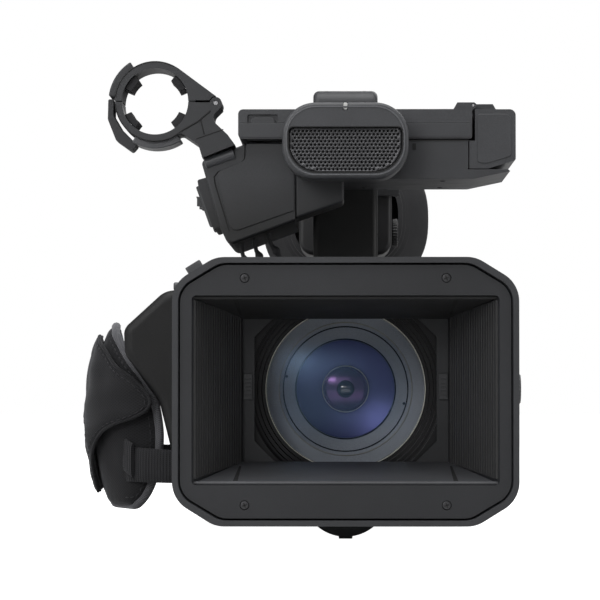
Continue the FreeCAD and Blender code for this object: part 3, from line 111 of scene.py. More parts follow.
class Nodes:
    """Builds one node tree, with short names for the nodes that every material uses."""

    def __init__(self, name):
        self.material = bpy.data.materials.new(name)
        self.material.use_nodes = True
        self.tree = self.material.node_tree
        self.shader = self.tree.nodes["Principled BSDF"]
        self.place = self.add("ShaderNodeTexCoord").outputs["Object"]

    def add(self, kind, **settings):
        item = self.tree.nodes.new(kind)
        for key, value in settings.items():
            setattr(item, key, value)
        return item

    def link(self, source, target):
        self.tree.links.new(source, target)

    def set(self, **values):
        for key, value in values.items():
            self.shader.inputs[key.replace("_", " ")].default_value = value

    def scaled(self, scale):
        """Object coordinates stretched by one factor for each axis."""
        mapping = self.add("ShaderNodeMapping")
        mapping.inputs["Scale"].default_value = scale
        self.link(self.place, mapping.inputs["Vector"])
        return mapping.outputs["Vector"]

    def noise(self, scale, detail=3, roughness=0.55, vector=None):
        item = self.add("ShaderNodeTexNoise")
        item.inputs["Scale"].default_value = scale
        item.inputs["Detail"].default_value = detail
        item.inputs["Roughness"].default_value = roughness
        self.link(vector or self.place, item.inputs["Vector"])
        return item.outputs["Fac"]

    def ramp(self, source, stops):
        item = self.add("ShaderNodeValToRGB")
        points = item.color_ramp.elements
        while len(points) < len(stops):
            points.new(0.5)
        for point, (where, colour) in zip(points, stops):
            point.position = where
            point.color = colour if hasattr(colour, "__len__") else (colour, colour, colour, 1)
        self.link(source, item.inputs["Fac"])
        return item.outputs["Color"]

    def math(self, kind, first, second):
        item = self.add("ShaderNodeMath", operation=kind)
        for socket, value in zip(item.inputs, (first, second)):
            if isinstance(value, (int, float)):
                socket.default_value = value
            else:
                self.link(value, socket)
        return item.outputs[0]

    def product(self, first, second):
        """Two colours multiplied."""
        item = self.add("ShaderNodeMix", data_type="RGBA", blend_type="MULTIPLY")
        factor, colour_a, colour_b = (item.inputs[i] for i in (0, 6, 7))
        factor.default_value = 1.0
        self.link(first, colour_a)
        self.link(second, colour_b)
        return item.outputs[2]

    def axis(self, name):
        item = self.add("ShaderNodeSeparateXYZ")
        self.link(self.place, item.inputs[0])
        return item.outputs[name]

    def colour(self, source):
        self.link(source, self.shader.inputs["Base Color"])

    def rough(self, source, low, high):
        item = self.add("ShaderNodeMapRange")
        item.inputs["To Min"].default_value = low
        item.inputs["To Max"].default_value = high
        self.link(source, item.inputs["Value"])
        self.link(item.outputs["Result"], self.shader.inputs["Roughness"])

    def bump(self, source, strength, depth):
        item = self.add("ShaderNodeBump")
        item.inputs["Strength"].default_value = strength
        item.inputs["Distance"].default_value = depth
        self.link(source, item.inputs["Height"])
        self.link(item.outputs["Normal"], self.shader.inputs["Normal"])


def moulded(name, colour, low=0.42, high=0.58, grain=2600, depth=0.00004, strength=0.5, specular=0.5,
            variety=0.12, painted_shade_below=None):
    """Moulded plastic: spark-eroded grain, slight mottling, and dust that dulls it in patches.

    The last argument, (low, high, share), paints shade: between two heights in millimetres the colour falls
    to that share, darkest at and below the lower height.
    """
    n = Nodes(name)
    base = tone(*colour)
    light = shaded(base, 1 + variety, 0.0012)
    dark = shaded(base, 1 - variety)
    cloud = n.noise(38, 4)
    fine = n.noise(grain, 2, 0.6)
    mottled = n.ramp(cloud, [(0.3, dark), (0.7, light)])
    speck = n.ramp(fine, [(0.35, 0.82), (0.65, 1.12)])
    finish = n.product(mottled, speck)
    # Painted shade: the colour darkens towards the bottom, between the two heights.
    if painted_shade_below:
        bottom, top, share = painted_shade_below
        height = n.math("DIVIDE", n.math("SUBTRACT", n.axis("Z"), bottom * MM), (top - bottom) * MM)
        finish = n.product(finish, n.ramp(height, [(0.0, share), (1.0, 1.0)]))
    n.colour(finish)
    n.rough(n.noise(90, 5), low, high)
    n.bump(fine, strength, depth)
    n.set(Specular_IOR_Level=specular)
    return n.material


def anodised(name, colour, low=0.3, high=0.42, specular=0.6, metallic=0.6):
    """Black anodised metal with faint turning marks round the lens axis."""
    n = Nodes(name)
    base = tone(*colour)
    light = shaded(base, 1.25, 0.001)
    marks = n.noise(700, 2, vector=n.scaled((0.05, 1.6, 0.05)))
    n.colour(n.ramp(marks, [(0.3, base), (0.7, light)]))
    n.rough(n.noise(160, 4), low, high)
    n.bump(marks, 0.25, 0.00002)
    n.set(Metallic=metallic, Specular_IOR_Level=specular)
    return n.material


def rubber(name, colour, low=0.55, high=0.75, grain=1700):
    n = Nodes(name)
    base = tone(*colour)
    light = shaded(base, 1.3, 0.001)
    fine = n.noise(grain, 3, 0.65)
    n.colour(n.ramp(n.noise(60, 5), [(0.3, base), (0.72, light)]))
    n.rough(n.noise(240, 4), low, high)
    n.bump(fine, 0.4, 0.00004)
    n.set(Specular_IOR_Level=0.35)
    return n.material


M = {
    "hood_plastic": moulded("hood_moulding", (41, 42, 45), 0.42, 0.54),
    "hood_inner": moulded("hood_inside", (31, 32, 35), 0.48, 0.6, specular=0.42),
    "screw_steel": anodised("blackened_steel", (58, 58, 60)),
    "ring_metal": anodised("black_anodising", (15, 15, 17)),
    "cone_grey": moulded("cone_paint", (206, 214, 226), 0.35, 0.5),
    "ring_rubber": rubber("ring_grip", (30, 30, 31)),
    "body_plastic": moulded("body_moulding", (46, 47, 50)),
    "board": moulded("board_lacquer", (20, 70, 40)),
    "base_metal": moulded("base_paint", (58, 58, 60), 0.35, 0.5),
    "battery_plastic": moulded("battery_moulding", (60, 60, 62), 0.4, 0.52),
    "button_plastic": moulded("button_moulding", (66, 67, 69), 0.32, 0.42, 3400, 0.00002),
    "record_red": moulded("record_moulding", (168, 26, 20), 0.28, 0.36, 3400, 0.00001),
    "clear_door": moulded("smoked_moulding", (60, 60, 62), 0.06, 0.12, 3400, 0.000004),
    # Painted shade: the handle darkens from 166 mm down, nearly to black at 140 mm and below.
    "handle_metal": moulded("handle_moulding_painted_shade", (44, 45, 48), painted_shade_below=(140, 166, 0.04)),
    "shoe_metal": anodised("shoe_anodising", (70, 70, 72)),
    "pod_plastic": moulded("pod_moulding", (53, 54, 57), 0.4, 0.52),
    "grille_metal": anodised("grille_sheet", (62, 62, 64)),
    "lamp_lens": moulded("lamp_cover", (190, 190, 188), 0.2, 0.3),
    "lens_glass": moulded("plain_glass", (20, 22, 40), 0.03, 0.06),
    "screen_glass": moulded("screen_face", (12, 12, 14), 0.05, 0.1),
    "soft_rubber": rubber("soft_rubber", (28, 28, 30)),
    "pin_steel": anodised("pin_steel", (150, 150, 152)),
    "clamp_plastic": moulded("clamp_moulding", (33, 34, 37), 0.4, 0.54),
}

M["slot_black"] = moulded("slot_black", (9, 9, 10), 0.7, 0.85)
M["hood_rib"] = moulded("rib_moulding", (34, 34, 35), 0.45, 0.55)
# Both flaps are one plastic: the upper flap's dark copy is painted shade, and the lower flap's light copy is
# painted light from above.
M["upper_flap"] = moulded("upper_flap_painted_shade", (20, 20, 21), 0.6, 0.75)
M["lower_flap"] = moulded("lower_flap_painted_light", (63, 64, 67), 0.45, 0.55)
M["clear_door"].node_tree.nodes["Principled BSDF"].inputs["Alpha"].default_value = 0.42
M["grip_moulding"] = moulded("grip_moulding", (13, 13, 14), 0.5, 0.62, 1500, 0.00009, 0.7, 0.35)
M["dark_moulding"] = moulded("dark_moulding", (22, 22, 24), 0.42, 0.56)
# Painted shade: the audio box and its neck darken towards the bottom, from 146 mm down to 124 mm.
M["audio_moulding_painted_shade"] = moulded("audio_moulding_painted_shade", (44, 45, 48), painted_shade_below=(124, 146, 0.12))
M["pale_mark"] = moulded("pale_mark", (196, 197, 196), 0.5, 0.6)
# Painted highlight: a lighter copy of the dark plastic for the audio box's rounded shoulder and the clamp's
# lower band, standing for the light along them.
M["shoulder_painted_highlight"] = moulded("shoulder_painted_highlight", (74, 75, 78), 0.3, 0.42)
# Painted highlight: a near-white colour for thin lens rims, standing for the glints on their edges.
M["rim_painted_highlight"] = moulded("rim_painted_highlight", (215, 215, 205), 0.3, 0.4)
# Pale plastic: real trim on the record guards and the battery label edge, and a painted highlight on the
# pod's face edge.
M["pale_trim_and_edge_highlight"] = moulded("pale_trim_and_edge_highlight", (78, 79, 82), 0.36, 0.46)


def lens_coating(name, core, edge, radius, rough, tint, ior=1.9, alpha=1.0):
    """Coated glass: its base colour changes from the lens axis outwards, a painted reflection of the
    coating's colours, and its real shine from the lights has a tint.
    """
    n = Nodes(name)
    around = n.scaled((1, 0, 1))
    centre = n.add("ShaderNodeVectorMath", operation="DISTANCE")
    centre.inputs[1].default_value = (0, 0, AXIS_Z)
    n.link(around, centre.inputs[0])
    share = n.math("DIVIDE", centre.outputs["Value"], radius * MM)
    # Painted reflection: the colour ramp from the lens axis outwards.
    n.colour(n.ramp(share,
                    [(0.0, core), (0.55, tuple(((a + b) / 2 for a, b in zip(core, edge)))), (1.0, edge)]))
    n.rough(n.noise(60, 3), rough * 0.9, rough * 1.1)
    n.set(Specular_Tint=tint, IOR=ior, Alpha=alpha)
    return n.material


# Painted reflection: each element's base colour, darker at its centre and lighter towards its rim, stands
# for the coating's reflected colours.
M["front_glass"] = lens_coating("front_glass_coating", tone(8, 10, 20), tone(26, 32, 46), 32, 0.32,
                                (0.4, 0.64, 1.0, 1), 2.6, 0.36)
M["inner_glass"] = lens_coating("inner_glass_coating", tone(16, 15, 44), tone(26, 27, 50), 20, 0.34,
                                (0.33, 0.36, 1.0, 1), 2.4)
M["deep_glass"] = lens_coating("deep_glass_coating", tone(10, 8, 14), tone(46, 34, 92), 9.3, 0.16,
                               (0.7, 0.4, 1.0, 1), 2.4)
M["core_glass"] = lens_coating("core_glass_coating", tone(8, 8, 10), tone(20, 18, 26), 3.4, 0.05,
                               (1, 1, 1, 1), 2.2)


def cloth(name, colour, weave, depth, sheen):
    """Woven nylon: crossing threads, fuzz and slight fading."""
    n = Nodes(name)
    base = tone(*colour)
    light = shaded(base, 1.55, 0.002)
    threads = []
    for angle in (0.55, -0.55):
        turned = n.add("ShaderNodeMapping")
        turned.inputs["Rotation"].default_value = (angle, angle * 0.7, 0.2)
        n.link(n.place, turned.inputs["Vector"])
        wave = n.add("ShaderNodeTexWave", wave_type="BANDS", bands_direction="Z")
        wave.inputs["Scale"].default_value = weave
        wave.inputs["Distortion"].default_value = 0.6
        wave.inputs["Detail"].default_value = 1
        n.link(turned.outputs["Vector"], wave.inputs["Vector"])
        threads.append(wave.outputs["Fac"])
    crossed = n.math("MAXIMUM", *threads)
    fuzz = n.noise(1500, 4, 0.7)
    worn = n.noise(32, 4)
    shade = n.math("MULTIPLY", crossed, n.math("ADD", fuzz, 0.35))
    tinted = n.ramp(shade, [(0.15, shaded(base, 0.65)), (0.55, base), (0.95, light)])
    n.colour(n.product(tinted, n.ramp(worn, [(0.3, 0.85), (0.7, 1.15)])))
    n.rough(fuzz, 0.78, 0.95)
    n.bump(n.math("ADD", crossed, n.math("MULTIPLY", fuzz, 0.5)), 0.55, depth)
    n.set(Sheen_Weight=sheen, Sheen_Roughness=0.4, Sheen_Tint=(0.75, 0.76, 0.8, 1), Specular_IOR_Level=0.25)
    return n.material


M["strap_fabric"] = cloth("strap_nylon", (24, 24, 26), 320, 0.00012, 0.15)
M["strap_web"] = cloth("strap_webbing_weave", (30, 30, 32), 480, 0.00014, 0.2)
M["strap_binding"] = cloth("strap_binding_tape", (72, 72, 75), 420, 0.0001, 0.4)
M["thread"] = cloth("strap_thread", (40, 40, 42), 900, 0.00005, 0.2)

slot_of = {part["node"]: part["material_slot"] for part in frame["record"]["subparts"]}


def rounded(item, width, segments=2, angle=35):
    """Round an object's hard edges with modifiers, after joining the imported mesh's split faces."""
    weld = item.modifiers.new("weld", "WELD")
    weld.merge_threshold = 0.000002
    flat = item.modifiers.new("flat", "DECIMATE")
    flat.decimate_type = "DISSOLVE"
    flat.angle_limit = math.radians(0.6)
    bevel = item.modifiers.new("edge", "BEVEL")
    bevel.width = width
    bevel.segments = segments
    bevel.limit_method = "ANGLE"
    bevel.angle_limit = math.radians(angle)
    bevel.use_clamp_overlap = True
    weighted = item.modifiers.new("normals", "WEIGHTED_NORMAL")
    weighted.weight = 80


def drop_normals(mesh):
    """Shade smoothly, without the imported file's own corner normals."""
    own = mesh.attributes.get("custom_normal")
    if own is not None:
        mesh.attributes.remove(own)
    mesh.polygons.foreach_set("use_smooth", [True] * len(mesh.polygons))


EDGE = {"hood_shell": 0.9, "hood_front_frame": 0.8, "mic_pod": 0.3, "lcd_panel": 0.5, "lcd_hinge_block": 0.5,
        "audio_box": 0.35, "handle_shell": 0.5, "clamp_lower": 0.35, "clamp_upper": 0.35}

SPECIAL = {"shutter_upper": "upper_flap", "shutter_lower": "lower_flap", "grip_shell": "grip_moulding",
           "evf_housing": "dark_moulding", "audio_box": "audio_moulding_painted_shade", "diopter_dial": "dark_moulding"}

for name, item in nodes.items():
    material = M[SPECIAL.get(name, slot_of[name])]
    item.data.materials.clear()
    item.data.materials.append(material)
    rounded(item, EDGE.get(name, 0.25) * MM)
    drop_normals(item.data)


# ---------------------------------------------------------------- mesh helpers

def made(name, parts, look, body="camera", smooth=35, bevel=0.0):
    """A piece from one or a list of (points in millimetres, faces) sets, riding on a body."""
    points, faces = gathered(*parts) if isinstance(parts, list) else parts
    mesh = bpy.data.meshes.new(name)
    mesh.from_pydata([Vector(point) * MM for point in points], [], faces)
    build = bmesh.new()
    build.from_mesh(mesh)
    bmesh.ops.remove_doubles(build, verts=build.verts, dist=1e-7)
    bmesh.ops.recalc_face_normals(build, faces=build.faces)
    build.to_mesh(mesh)
    build.free()
    mesh.polygons.foreach_set("use_smooth", [True] * len(mesh.polygons))
    mesh.set_sharp_from_angle(angle=math.radians(smooth))
    item = bpy.data.objects.new(name, mesh)
    scene.collection.objects.link(item)
    mesh.materials.append(M[look])
    if bevel:
        edge = item.modifiers.new("edge", "BEVEL")
        edge.width = bevel * MM
        edge.segments = 2
        edge.limit_method = "ANGLE"
        edge.angle_limit = math.radians(smooth)
        weighted = item.modifiers.new("normals", "WEIGHTED_NORMAL")
        weighted.weight = 80
    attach(item, body)
    return item


def gathered(*parts):
    """Several (points, faces) sets as one."""
    points, faces = [], []
    for more_points, more_faces in parts:
        start = len(points)
        points.extend(more_points)
        faces.extend([tuple(index + start for index in face) for face in more_faces])
    return points, faces


def placed(plane, a, b, c):
    """A point from two coordinates in a plane and one across it."""
    return {"XZ": (a, c, b), "YZ": (c, a, b), "XY": (a, b, c)}[plane]


def curved(corners, steps=6):
    """A closed outline whose corners with a third value are rounded to that radius."""
    out = []
    count = len(corners)
    for i, corner in enumerate(corners):
        here = Vector(corner[:2])
        radius = corner[2] if len(corner) > 2 else 0
        before = (Vector(corners[i - 1][:2]) - here).normalized()
        after = (Vector(corners[(i + 1) % count][:2]) - here).normalized()
        half = before.angle(after) / 2
        if not radius or abs(half - math.pi / 2) < 1e-3:
            out.append(tuple(here))
            continue
        reach = radius / math.tan(half)
        centre = here + (before + after).normalized() * (radius / math.sin(half))
        first = here + before * reach - centre
        last = here + after * reach - centre
        sweep = first.angle_signed(last)
        for step in range(steps + 1):
            turn = -sweep * step / steps
            out.append(tuple(centre + Matrix.Rotation(turn, 2) @ first))
    return out


def box_outline(low, high, radius, steps=6, upper=None):
    """The outline of a rounded rectangle; its two upper corners may have a radius of their own."""
    top = radius if upper is None else upper
    (left, bottom), (right, crest) = low, high
    return curved([(left, bottom, radius), (right, bottom, radius), (right, crest, top),
                   (left, crest, top)], steps)


def prism(outline, plane, start, length):
    """An outline in a plane, pushed out along the axis across it."""
    count = len(outline)
    points = [placed(plane, a, b, place) for place in (start, start + length) for a, b in outline]
    faces = [tuple(range(count)), tuple(range(count, 2 * count))]
    faces += [(i, (i + 1) % count, (i + 1) % count + count, i + count) for i in range(count)]
    return points, faces


def slab(low, high):
    """A plain block between two opposite corners."""
    outline = [(low[0], low[1]), (high[0], low[1]), (high[0], high[1]), (low[0], high[1])]
    return prism(outline, "XY", low[2], high[2] - low[2])


def bar(middle, turn, half_long, half_wide):
    """The outline of a thin bar turned about its middle."""
    run = Vector((math.cos(turn), math.sin(turn))) * half_long
    side = Vector((-math.sin(turn), math.cos(turn))) * half_wide
    middle = Vector(middle)
    return [tuple(middle + run * a + side * b) for a, b in ((1, 1), (-1, 1), (-1, -1), (1, -1))]


def lathe(profile, centre, axis="Y", count=96, closed=False, wave=None):
    """A turned surface from (place along the axis, radius) points; wave(angle, row) adds to the radius."""
    points, faces = [], []
    for index, (along, radius) in enumerate(profile):
        for step in range(count):
            angle = 2 * math.pi * step / count
            reach = radius + (wave(angle, index) if wave else 0)
            across, up = reach * math.cos(angle), reach * math.sin(angle)
            spot = {"Y": (across, along, up), "X": (along, across, up), "Z": (across, up, along)}[axis]
            points.append(tuple(c + s for c, s in zip(centre, spot)))
    rows = len(profile)
    for row in range(rows if closed else rows - 1):
        for step in range(count):
            following = (step + 1) % count
            nxt = (row + 1) % rows
            faces.append((row * count + step, row * count + following, nxt * count + following,
                          nxt * count + step))
    return points, faces


def turned_solid(profile, centre, axis="Y", count=48):
    """A turned solid whose two ends are closed on the axis."""
    return lathe([(profile[0][0], 0.0001)] + list(profile) + [(profile[-1][0], 0.0001)], centre, axis, count)


def tube(path, radius, count=10, closed=False):
    """A round tube along a path of points; radius is one number or one for each point."""
    path = [Vector(point) for point in path]
    size = len(path)
    points, faces = [], []
    side = None
    for i, point in enumerate(path):
        before = path[i - 1] if closed or i else point
        after = path[(i + 1) % size] if closed or i < size - 1 else point
        way = (after - before).normalized()
        if side is None:
            side = way.orthogonal().normalized()
        side = (side - way * side.dot(way)).normalized()
        other = way.cross(side)
        reach = radius[i] if hasattr(radius, "__len__") else radius
        for step in range(count):
            angle = 2 * math.pi * step / count
            points.append(tuple(point + side * (reach * math.cos(angle))
                                + other * (reach * math.sin(angle))))
    for i in range(size if closed else size - 1):
        nxt = (i + 1) % size
        for step in range(count):
            following = (step + 1) % count
            faces.append((i * count + step, i * count + following, nxt * count + following,
                          nxt * count + step))
    if not closed:
        faces.append(tuple(range(count)))
        faces.append(tuple((size - 1) * count + step for step in range(count)))
    return points, faces


def resampled(path, gap):
    """Points an even distance apart along a path."""
    path = [Vector(point) for point in path]
    lengths = [(b - a).length for a, b in zip(path, path[1:])]
    total = sum(lengths)
    count = max(2, round(total / gap))
    out, i, passed = [], 0, 0.0
    for step in range(count + 1):
        goal = total * step / count
        while i < len(lengths) - 1 and passed + lengths[i] < goal:
            passed += lengths[i]
            i += 1
        out.append(path[i].lerp(path[i + 1], min(1, max(0, (goal - passed) / max(lengths[i], 1e-9)))))
    return out


def stitched(path, length=2.0, gap=1.1, radius=0.22):
    """A row of raised thread stitches along a path."""
    spots = resampled(path, length + gap)
    parts = []
    for a, b in zip(spots, spots[1:]):
        way = (b - a).normalized()
        tip = a + way * length
        middle = (a + tip) / 2
        parts.append(tube([a, a + way * 0.2, middle, tip - way * 0.2, tip],
                          [radius * 0.3, radius * 0.85, radius, radius * 0.85, radius * 0.3], 6))
    return gathered(*parts)


def sheet_with_holes(outline, holes, plane, place):
    """A flat face inside an outline, with the holes' outlines cut out of it."""
    points, edges = [], []
    for ring in [outline] + holes:
        start = len(points)
        points.extend(Vector(point) for point in ring)
        edges.extend((start + i, start + (i + 1) % len(ring)) for i in range(len(ring)))
    spots, _, faces, _, _, _ = delaunay_2d_cdt(points, edges, [], 1, 1e-6)
    centres = [sum((Vector(point) for point in ring), Vector((0, 0))) / len(ring) for ring in holes]
    reach = (Vector(holes[0][0]) - centres[0]).length * 0.98
    buckets = {}
    for centre in centres:
        buckets.setdefault((round(centre.x), round(centre.y)), []).append(centre)
    kept = []
    for face in faces:
        middle = sum((spots[i] for i in face), Vector((0, 0))) / len(face)
        near = [c for dx in (-1, 0, 1) for dy in (-1, 0, 1)
                for c in buckets.get((round(middle.x) + dx, round(middle.y) + dy), ())]
        if all((middle - c).length > reach * 0.9 for c in near):
            kept.append(tuple(face))
    return [placed(plane, spot.x, spot.y, place) for spot in spots], kept


# ---------------------------------------------------------------- hood interior

WALL_START, WALL_END = -222.4, -177.2


def wall_x(y):
    """Half the funnel's width at a depth, on the side walls' inner faces."""
    return 58.6 - (y + 222.8) / 46.3 * 18.1


def hood_ribs(side):
    """Upright anti-reflection ribs on one side wall, with their ends sloping to the flaps."""
    parts = []
    count = 20
    pitch = (WALL_END - WALL_START - 2.4) / count
    for i in range(count):
        start = WALL_START + 1.2 + pitch * i
        end = start + pitch * 0.55
        share = (start - WALL_START) / (WALL_END - WALL_START)
        low, high = 25.6 + 5.6 * share, 94.0 - 5.8 * share
        corners = [((wall_x(start) + 0.3) * side, start), ((wall_x(start) - 0.75) * side, start),
                   ((wall_x(end) - 0.9) * side, end), ((wall_x(end) + 0.3) * side, end)]
        parts.append(prism(corners, "XY", low, high - low))
    return gathered(*parts)


for label, side in (("left", 1), ("right", -1)):
    made(f"hood_ribs_{label}", hood_ribs(side), "hood_rib", smooth=20, bevel=0.08)

# Each flap's guide slots.
for label, body, edge_z, way in (("lower", "lower_flap", 24.0, 1), ("upper", "upper_flap", 95.0, -1)):
    tilt = math.radians(9)
    parts = []
    for side in (-1, 1):
        front, rear = -218.5, -187.0
        corners = []
        for y, x in ((front, 41.2), (front, 43.0), (rear, 41.6), (rear, 40.8)):
            corners.append((x * side, y))
        flat = prism(corners, "XY", -0.03, 0.12)
        moved = []
        for x, y, z in flat[0]:
            reach = y + 220.2
            moved.append((x, -220.2 + reach * math.cos(tilt) - z * way * math.sin(tilt),
                          edge_z + (reach * math.sin(tilt) + (0.6 + z) * math.cos(tilt)) * way))
        parts.append((moved, flat[1]))
    made(f"flap_slots_{label}", parts, "slot_black", body=body)

# Catches at both sides of the lens opening.
catches = []
for side in (-1, 1):
    low, high = sorted((36.9 * side, 40.4 * side))
    catches.append(slab((low, -177.2, 55.8), (high, -176.0, 66.0)))
    for step in range(5):
        z = 57.2 + 1.6 * step
        catches.append(slab((low + 0.6, -177.5, z), (high - 0.6, -177.1, z + 0.7)))
made("hood_catches", catches, "hood_plastic", bevel=0.15)

# ---------------------------------------------------------------- lens

def dome(start, bulge, rim, centre_hole=0.0, steps=14):
    """The front face of a lens element, from its rim back to its apex."""
    ball = (rim ** 2 + bulge ** 2) / (2 * bulge)
    rows = []
    for step in range(steps + 1):
        radius = rim + (centre_hole - rim) * step / steps
        sag = ball - math.sqrt(ball ** 2 - radius ** 2)
        rows.append((start - bulge + sag, max(radius, 0.001)))
    return rows


AXIS = (0, 0, 60)
front = dome(-158.0, 5.5, 31.8)
made("front_glass",
     [lathe(front, AXIS, count=128), lathe([(-158.0, 31.8), (-156.6, 31.8)], AXIS, count=128)],
     "front_glass", smooth=60)
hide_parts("lens_glass")


def hollow_dome(rim_place, ball, rim, centre_hole, steps=14):
    """A concave lens face, from its rim inwards."""
    deep = ball - math.sqrt(ball ** 2 - rim ** 2)
    rows = []
    for step in range(steps + 1):
        radius = rim + (centre_hole - rim) * step / steps
        rows.append((rim_place + deep - (ball - math.sqrt(ball ** 2 - radius ** 2)), max(radius, 0.001)))
    return rows


made("inner_glass", lathe(hollow_dome(-138.6, 64, 19.9, 9.3), AXIS, count=96), "inner_glass",
     smooth=60)
made("deep_glass", lathe(dome(-135.9, 1.53, 9.2), AXIS, count=64), "deep_glass", smooth=60)
made("core_glass", lathe(dome(-137.2, 1.1, 3.6), AXIS, count=48), "core_glass", smooth=60)
# Painted highlight: near-white rims at the front element, the cone and the inner glass stand for the glints
# on their edges.
rings = gathered(
    lathe([(-159.0, 31.7), (-159.25, 31.95), (-159.0, 32.2), (-158.7, 31.95)], AXIS, count=128, closed=True),
    lathe([(-143.9, 26.7), (-144.25, 26.95), (-143.9, 27.2), (-143.5, 26.95)], AXIS, count=128, closed=True),
    lathe([(-138.1, 9.15), (-138.4, 9.35), (-138.1, 9.55), (-137.8, 9.35)], AXIS, count=96, closed=True))
made("lens_rims_painted_highlight", rings, "rim_painted_highlight", smooth=60)
made("lens_dark_rims",
     [lathe([(-137.0, 20.0), (-137.5, 20.5), (-137.0, 21.0)], AXIS, count=128),
      lathe([(-142.2, 25.0), (-142.7, 25.35), (-142.3, 25.7)], AXIS, count=128)], "slot_black",
     smooth=60)
cone_holes = []
for angle in (168, 346):
    turn = math.radians(angle)
    spot = (24.4 * math.cos(turn), 0, 60 + 24.4 * math.sin(turn))
    cone_holes.append(turned_solid([(-142.6, 0.55), (-141.2, 0.55)], spot, count=16))
made("cone_holes", cone_holes, "slot_black")
# The filter thread in front of the glass.
thread = []
for turn in range(6):
    place = -170.2 + turn * 1.15
    thread += [(place, 38.5), (place + 0.35, 37.95), (place + 0.7, 38.5)]
made("filter_thread", lathe(thread, AXIS, count=160), "ring_metal", smooth=20)


# ---------------------------------------------------------------- microphone pod and screen

GRILLE_PLATE = box_outline((-22.6, 147.0), (22.6, 164.5), 11.2, 10, 1.8)


def inside(point, outline, margin):
    """Whether a point lies inside a convex outline by a margin."""
    for a, b in zip(outline, outline[1:] + outline[:1]):
        edge = Vector(b) - Vector(a)
        if edge.length > 1e-6:
            normal = Vector((-edge.y, edge.x)).normalized()
            if normal.dot(Vector(point) - Vector(a)) < margin:
                return False
    return True


turn_sign = sum(a[0] * b[1] - b[0] * a[1] for a, b in zip(GRILLE_PLATE, GRILLE_PLATE[1:] + GRILLE_PLATE[:1]))
if turn_sign < 0:
    GRILLE_PLATE.reverse()
PITCH, HOLE = 1.62, 0.5
holes = []
for row in range(13):
    z = 147.9 + row * PITCH * 0.866
    shift = PITCH / 2 if row % 2 else 0
    for column in range(-15, 16):
        x = column * PITCH + shift
        if inside((x, z), GRILLE_PLATE, HOLE + 0.35):
            holes.append([(x + HOLE * math.cos(math.radians(a)), z + HOLE * math.sin(math.radians(a)))
                          for a in range(0, 360, 36)])
grille = made("grille_sheet", sheet_with_holes(GRILLE_PLATE, holes, "XZ", -161.75), "grille_metal",
              smooth=20)
thick = grille.modifiers.new("thick", "SOLIDIFY")
thick.thickness = 0.4 * MM
thick.offset = 0
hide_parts("mic_grille")
made("grille_backing", prism(GRILLE_PLATE, "XZ", -160.9, 0.6), "slot_black")


def frame_ring(outline, inner, plane, start, length):
    """A flat ring between two outlines with as many points each."""
    count = len(outline)
    points = []
    for place in (start, start + length):
        for ring in (outline, inner):
            points += [placed(plane, a, b, place) for a, b in ring]
    faces = []
    for i in range(count):
        nxt = (i + 1) % count
        faces += [(i, nxt, nxt + count, i + count),
                  (i + 2 * count, nxt + 2 * count, nxt + 3 * count, i + 3 * count),
                  (i, nxt, nxt + 2 * count, i + 2 * count),
                  (i + count, nxt + count, nxt + 3 * count, i + 3 * count)]
    return points, faces


# A pale line round the pod's face, a painted highlight on its edge, and a dark line round the grille, each
# between an outer and an inner outline.
pod_line = box_outline((-23.9, 145.4), (23.9, 173.3), 12.0, 12)
pod_inner = box_outline((-23.3, 146.0), (23.3, 172.7), 11.4, 12)
made("pod_face_painted_highlight", frame_ring(pod_line, pod_inner, "XZ", -163.22, 0.6), "pale_trim_and_edge_highlight",
     bevel=0.12)
rim_out = box_outline((-23.2, 146.4), (23.2, 165.2), 11.8, 10, 2.2)
rim_in = box_outline((-22.7, 146.9), (22.7, 164.7), 11.3, 10, 1.7)
made("grille_frame", frame_ring(rim_out, rim_in, "XZ", -163.12, 1.3), "slot_black",
     bevel=0.1)

# The screen's front edge: a lower step, and a line over the whole width.
made("screen_step",
     [prism(curved([(-43.4, 162.2, 1.4), (51.0, 162.2, 0.6), (51.0, 167.9, 0.3), (-43.4, 167.9, 0.3)], 4),
            "XZ", -145.05, 0.4),
      prism([(-43.0, 168.15), (50.6, 168.15), (50.6, 168.4), (-43.0, 168.4)], "XZ", -144.95, 0.3)],
     "pod_plastic", body="screen", bevel=0.12)
made("screen_pull", prism(box_outline((-38.6, 165.9), (-28.6, 170.3), 1.2, 5, 2.0), "XZ", -144.9, 1.3),
     "body_plastic", body="screen", bevel=0.3)
made("screen_glass_sheet", prism(box_outline((-34.6, -134.6), (39.4, -89.2), 1, 4), "XY", 161.65, 0.3),
     "screen_glass", body="screen", bevel=0.1)
# Bezel under the screen.
made("screen_bezel",
     frame_ring(box_outline((-40.6, -141.6), (48.4, -83.2), 2, 5),
                box_outline((-35.2, -135.4), (40.0, -88.4), 1, 5), "XY", 161.2, 0.5), "body_plastic",
     body="screen", bevel=0.15)
made("tray_seams",
     [slab((25.6, -146.02, 160.5), (50.1, -145.7, 161.0)),
      slab((27.2, -146.0, 157.0), (28.6, -145.7, 159.6))], "slot_black")
made("hinge_block_cap",
     prism(curved([(53.6, 151.6, 1.2), (57.8, 151.6, 1.5), (67.3, 154.4, 1.8), (67.3, 171.6, 2.6),
                   (53.6, 171.6, 1.2)], 6), "XZ", -145.15, 0.5), "pod_plastic", bevel=0.25)

# ---------------------------------------------------------------- audio input box

made("audio_front_plate",
     prism(curved([(-20.8, 160.0), (-40.2, 160.0, 0.6), (-40.6, 153.4, 3.0), (-53.0, 148.2, 3.2),
                   (-46.4, 123.6, 3.2), (-20.8, 132.6)], 7), "XZ", -140.5, 0.7), "audio_moulding_painted_shade",
     bevel=0.3)
made("audio_box_seam",
     [tube([(-40.9, -139.9, 160.2), (-41.2, -140.05, 153.6), (-42.6, -140.05, 152.2),
            (-52.0, -140.05, 148.4), (-53.6, -140.05, 146.4), (-53.2, -140.05, 143.6),
            (-47.4, -140.05, 124.2)], 0.28, 8)], "slot_black")
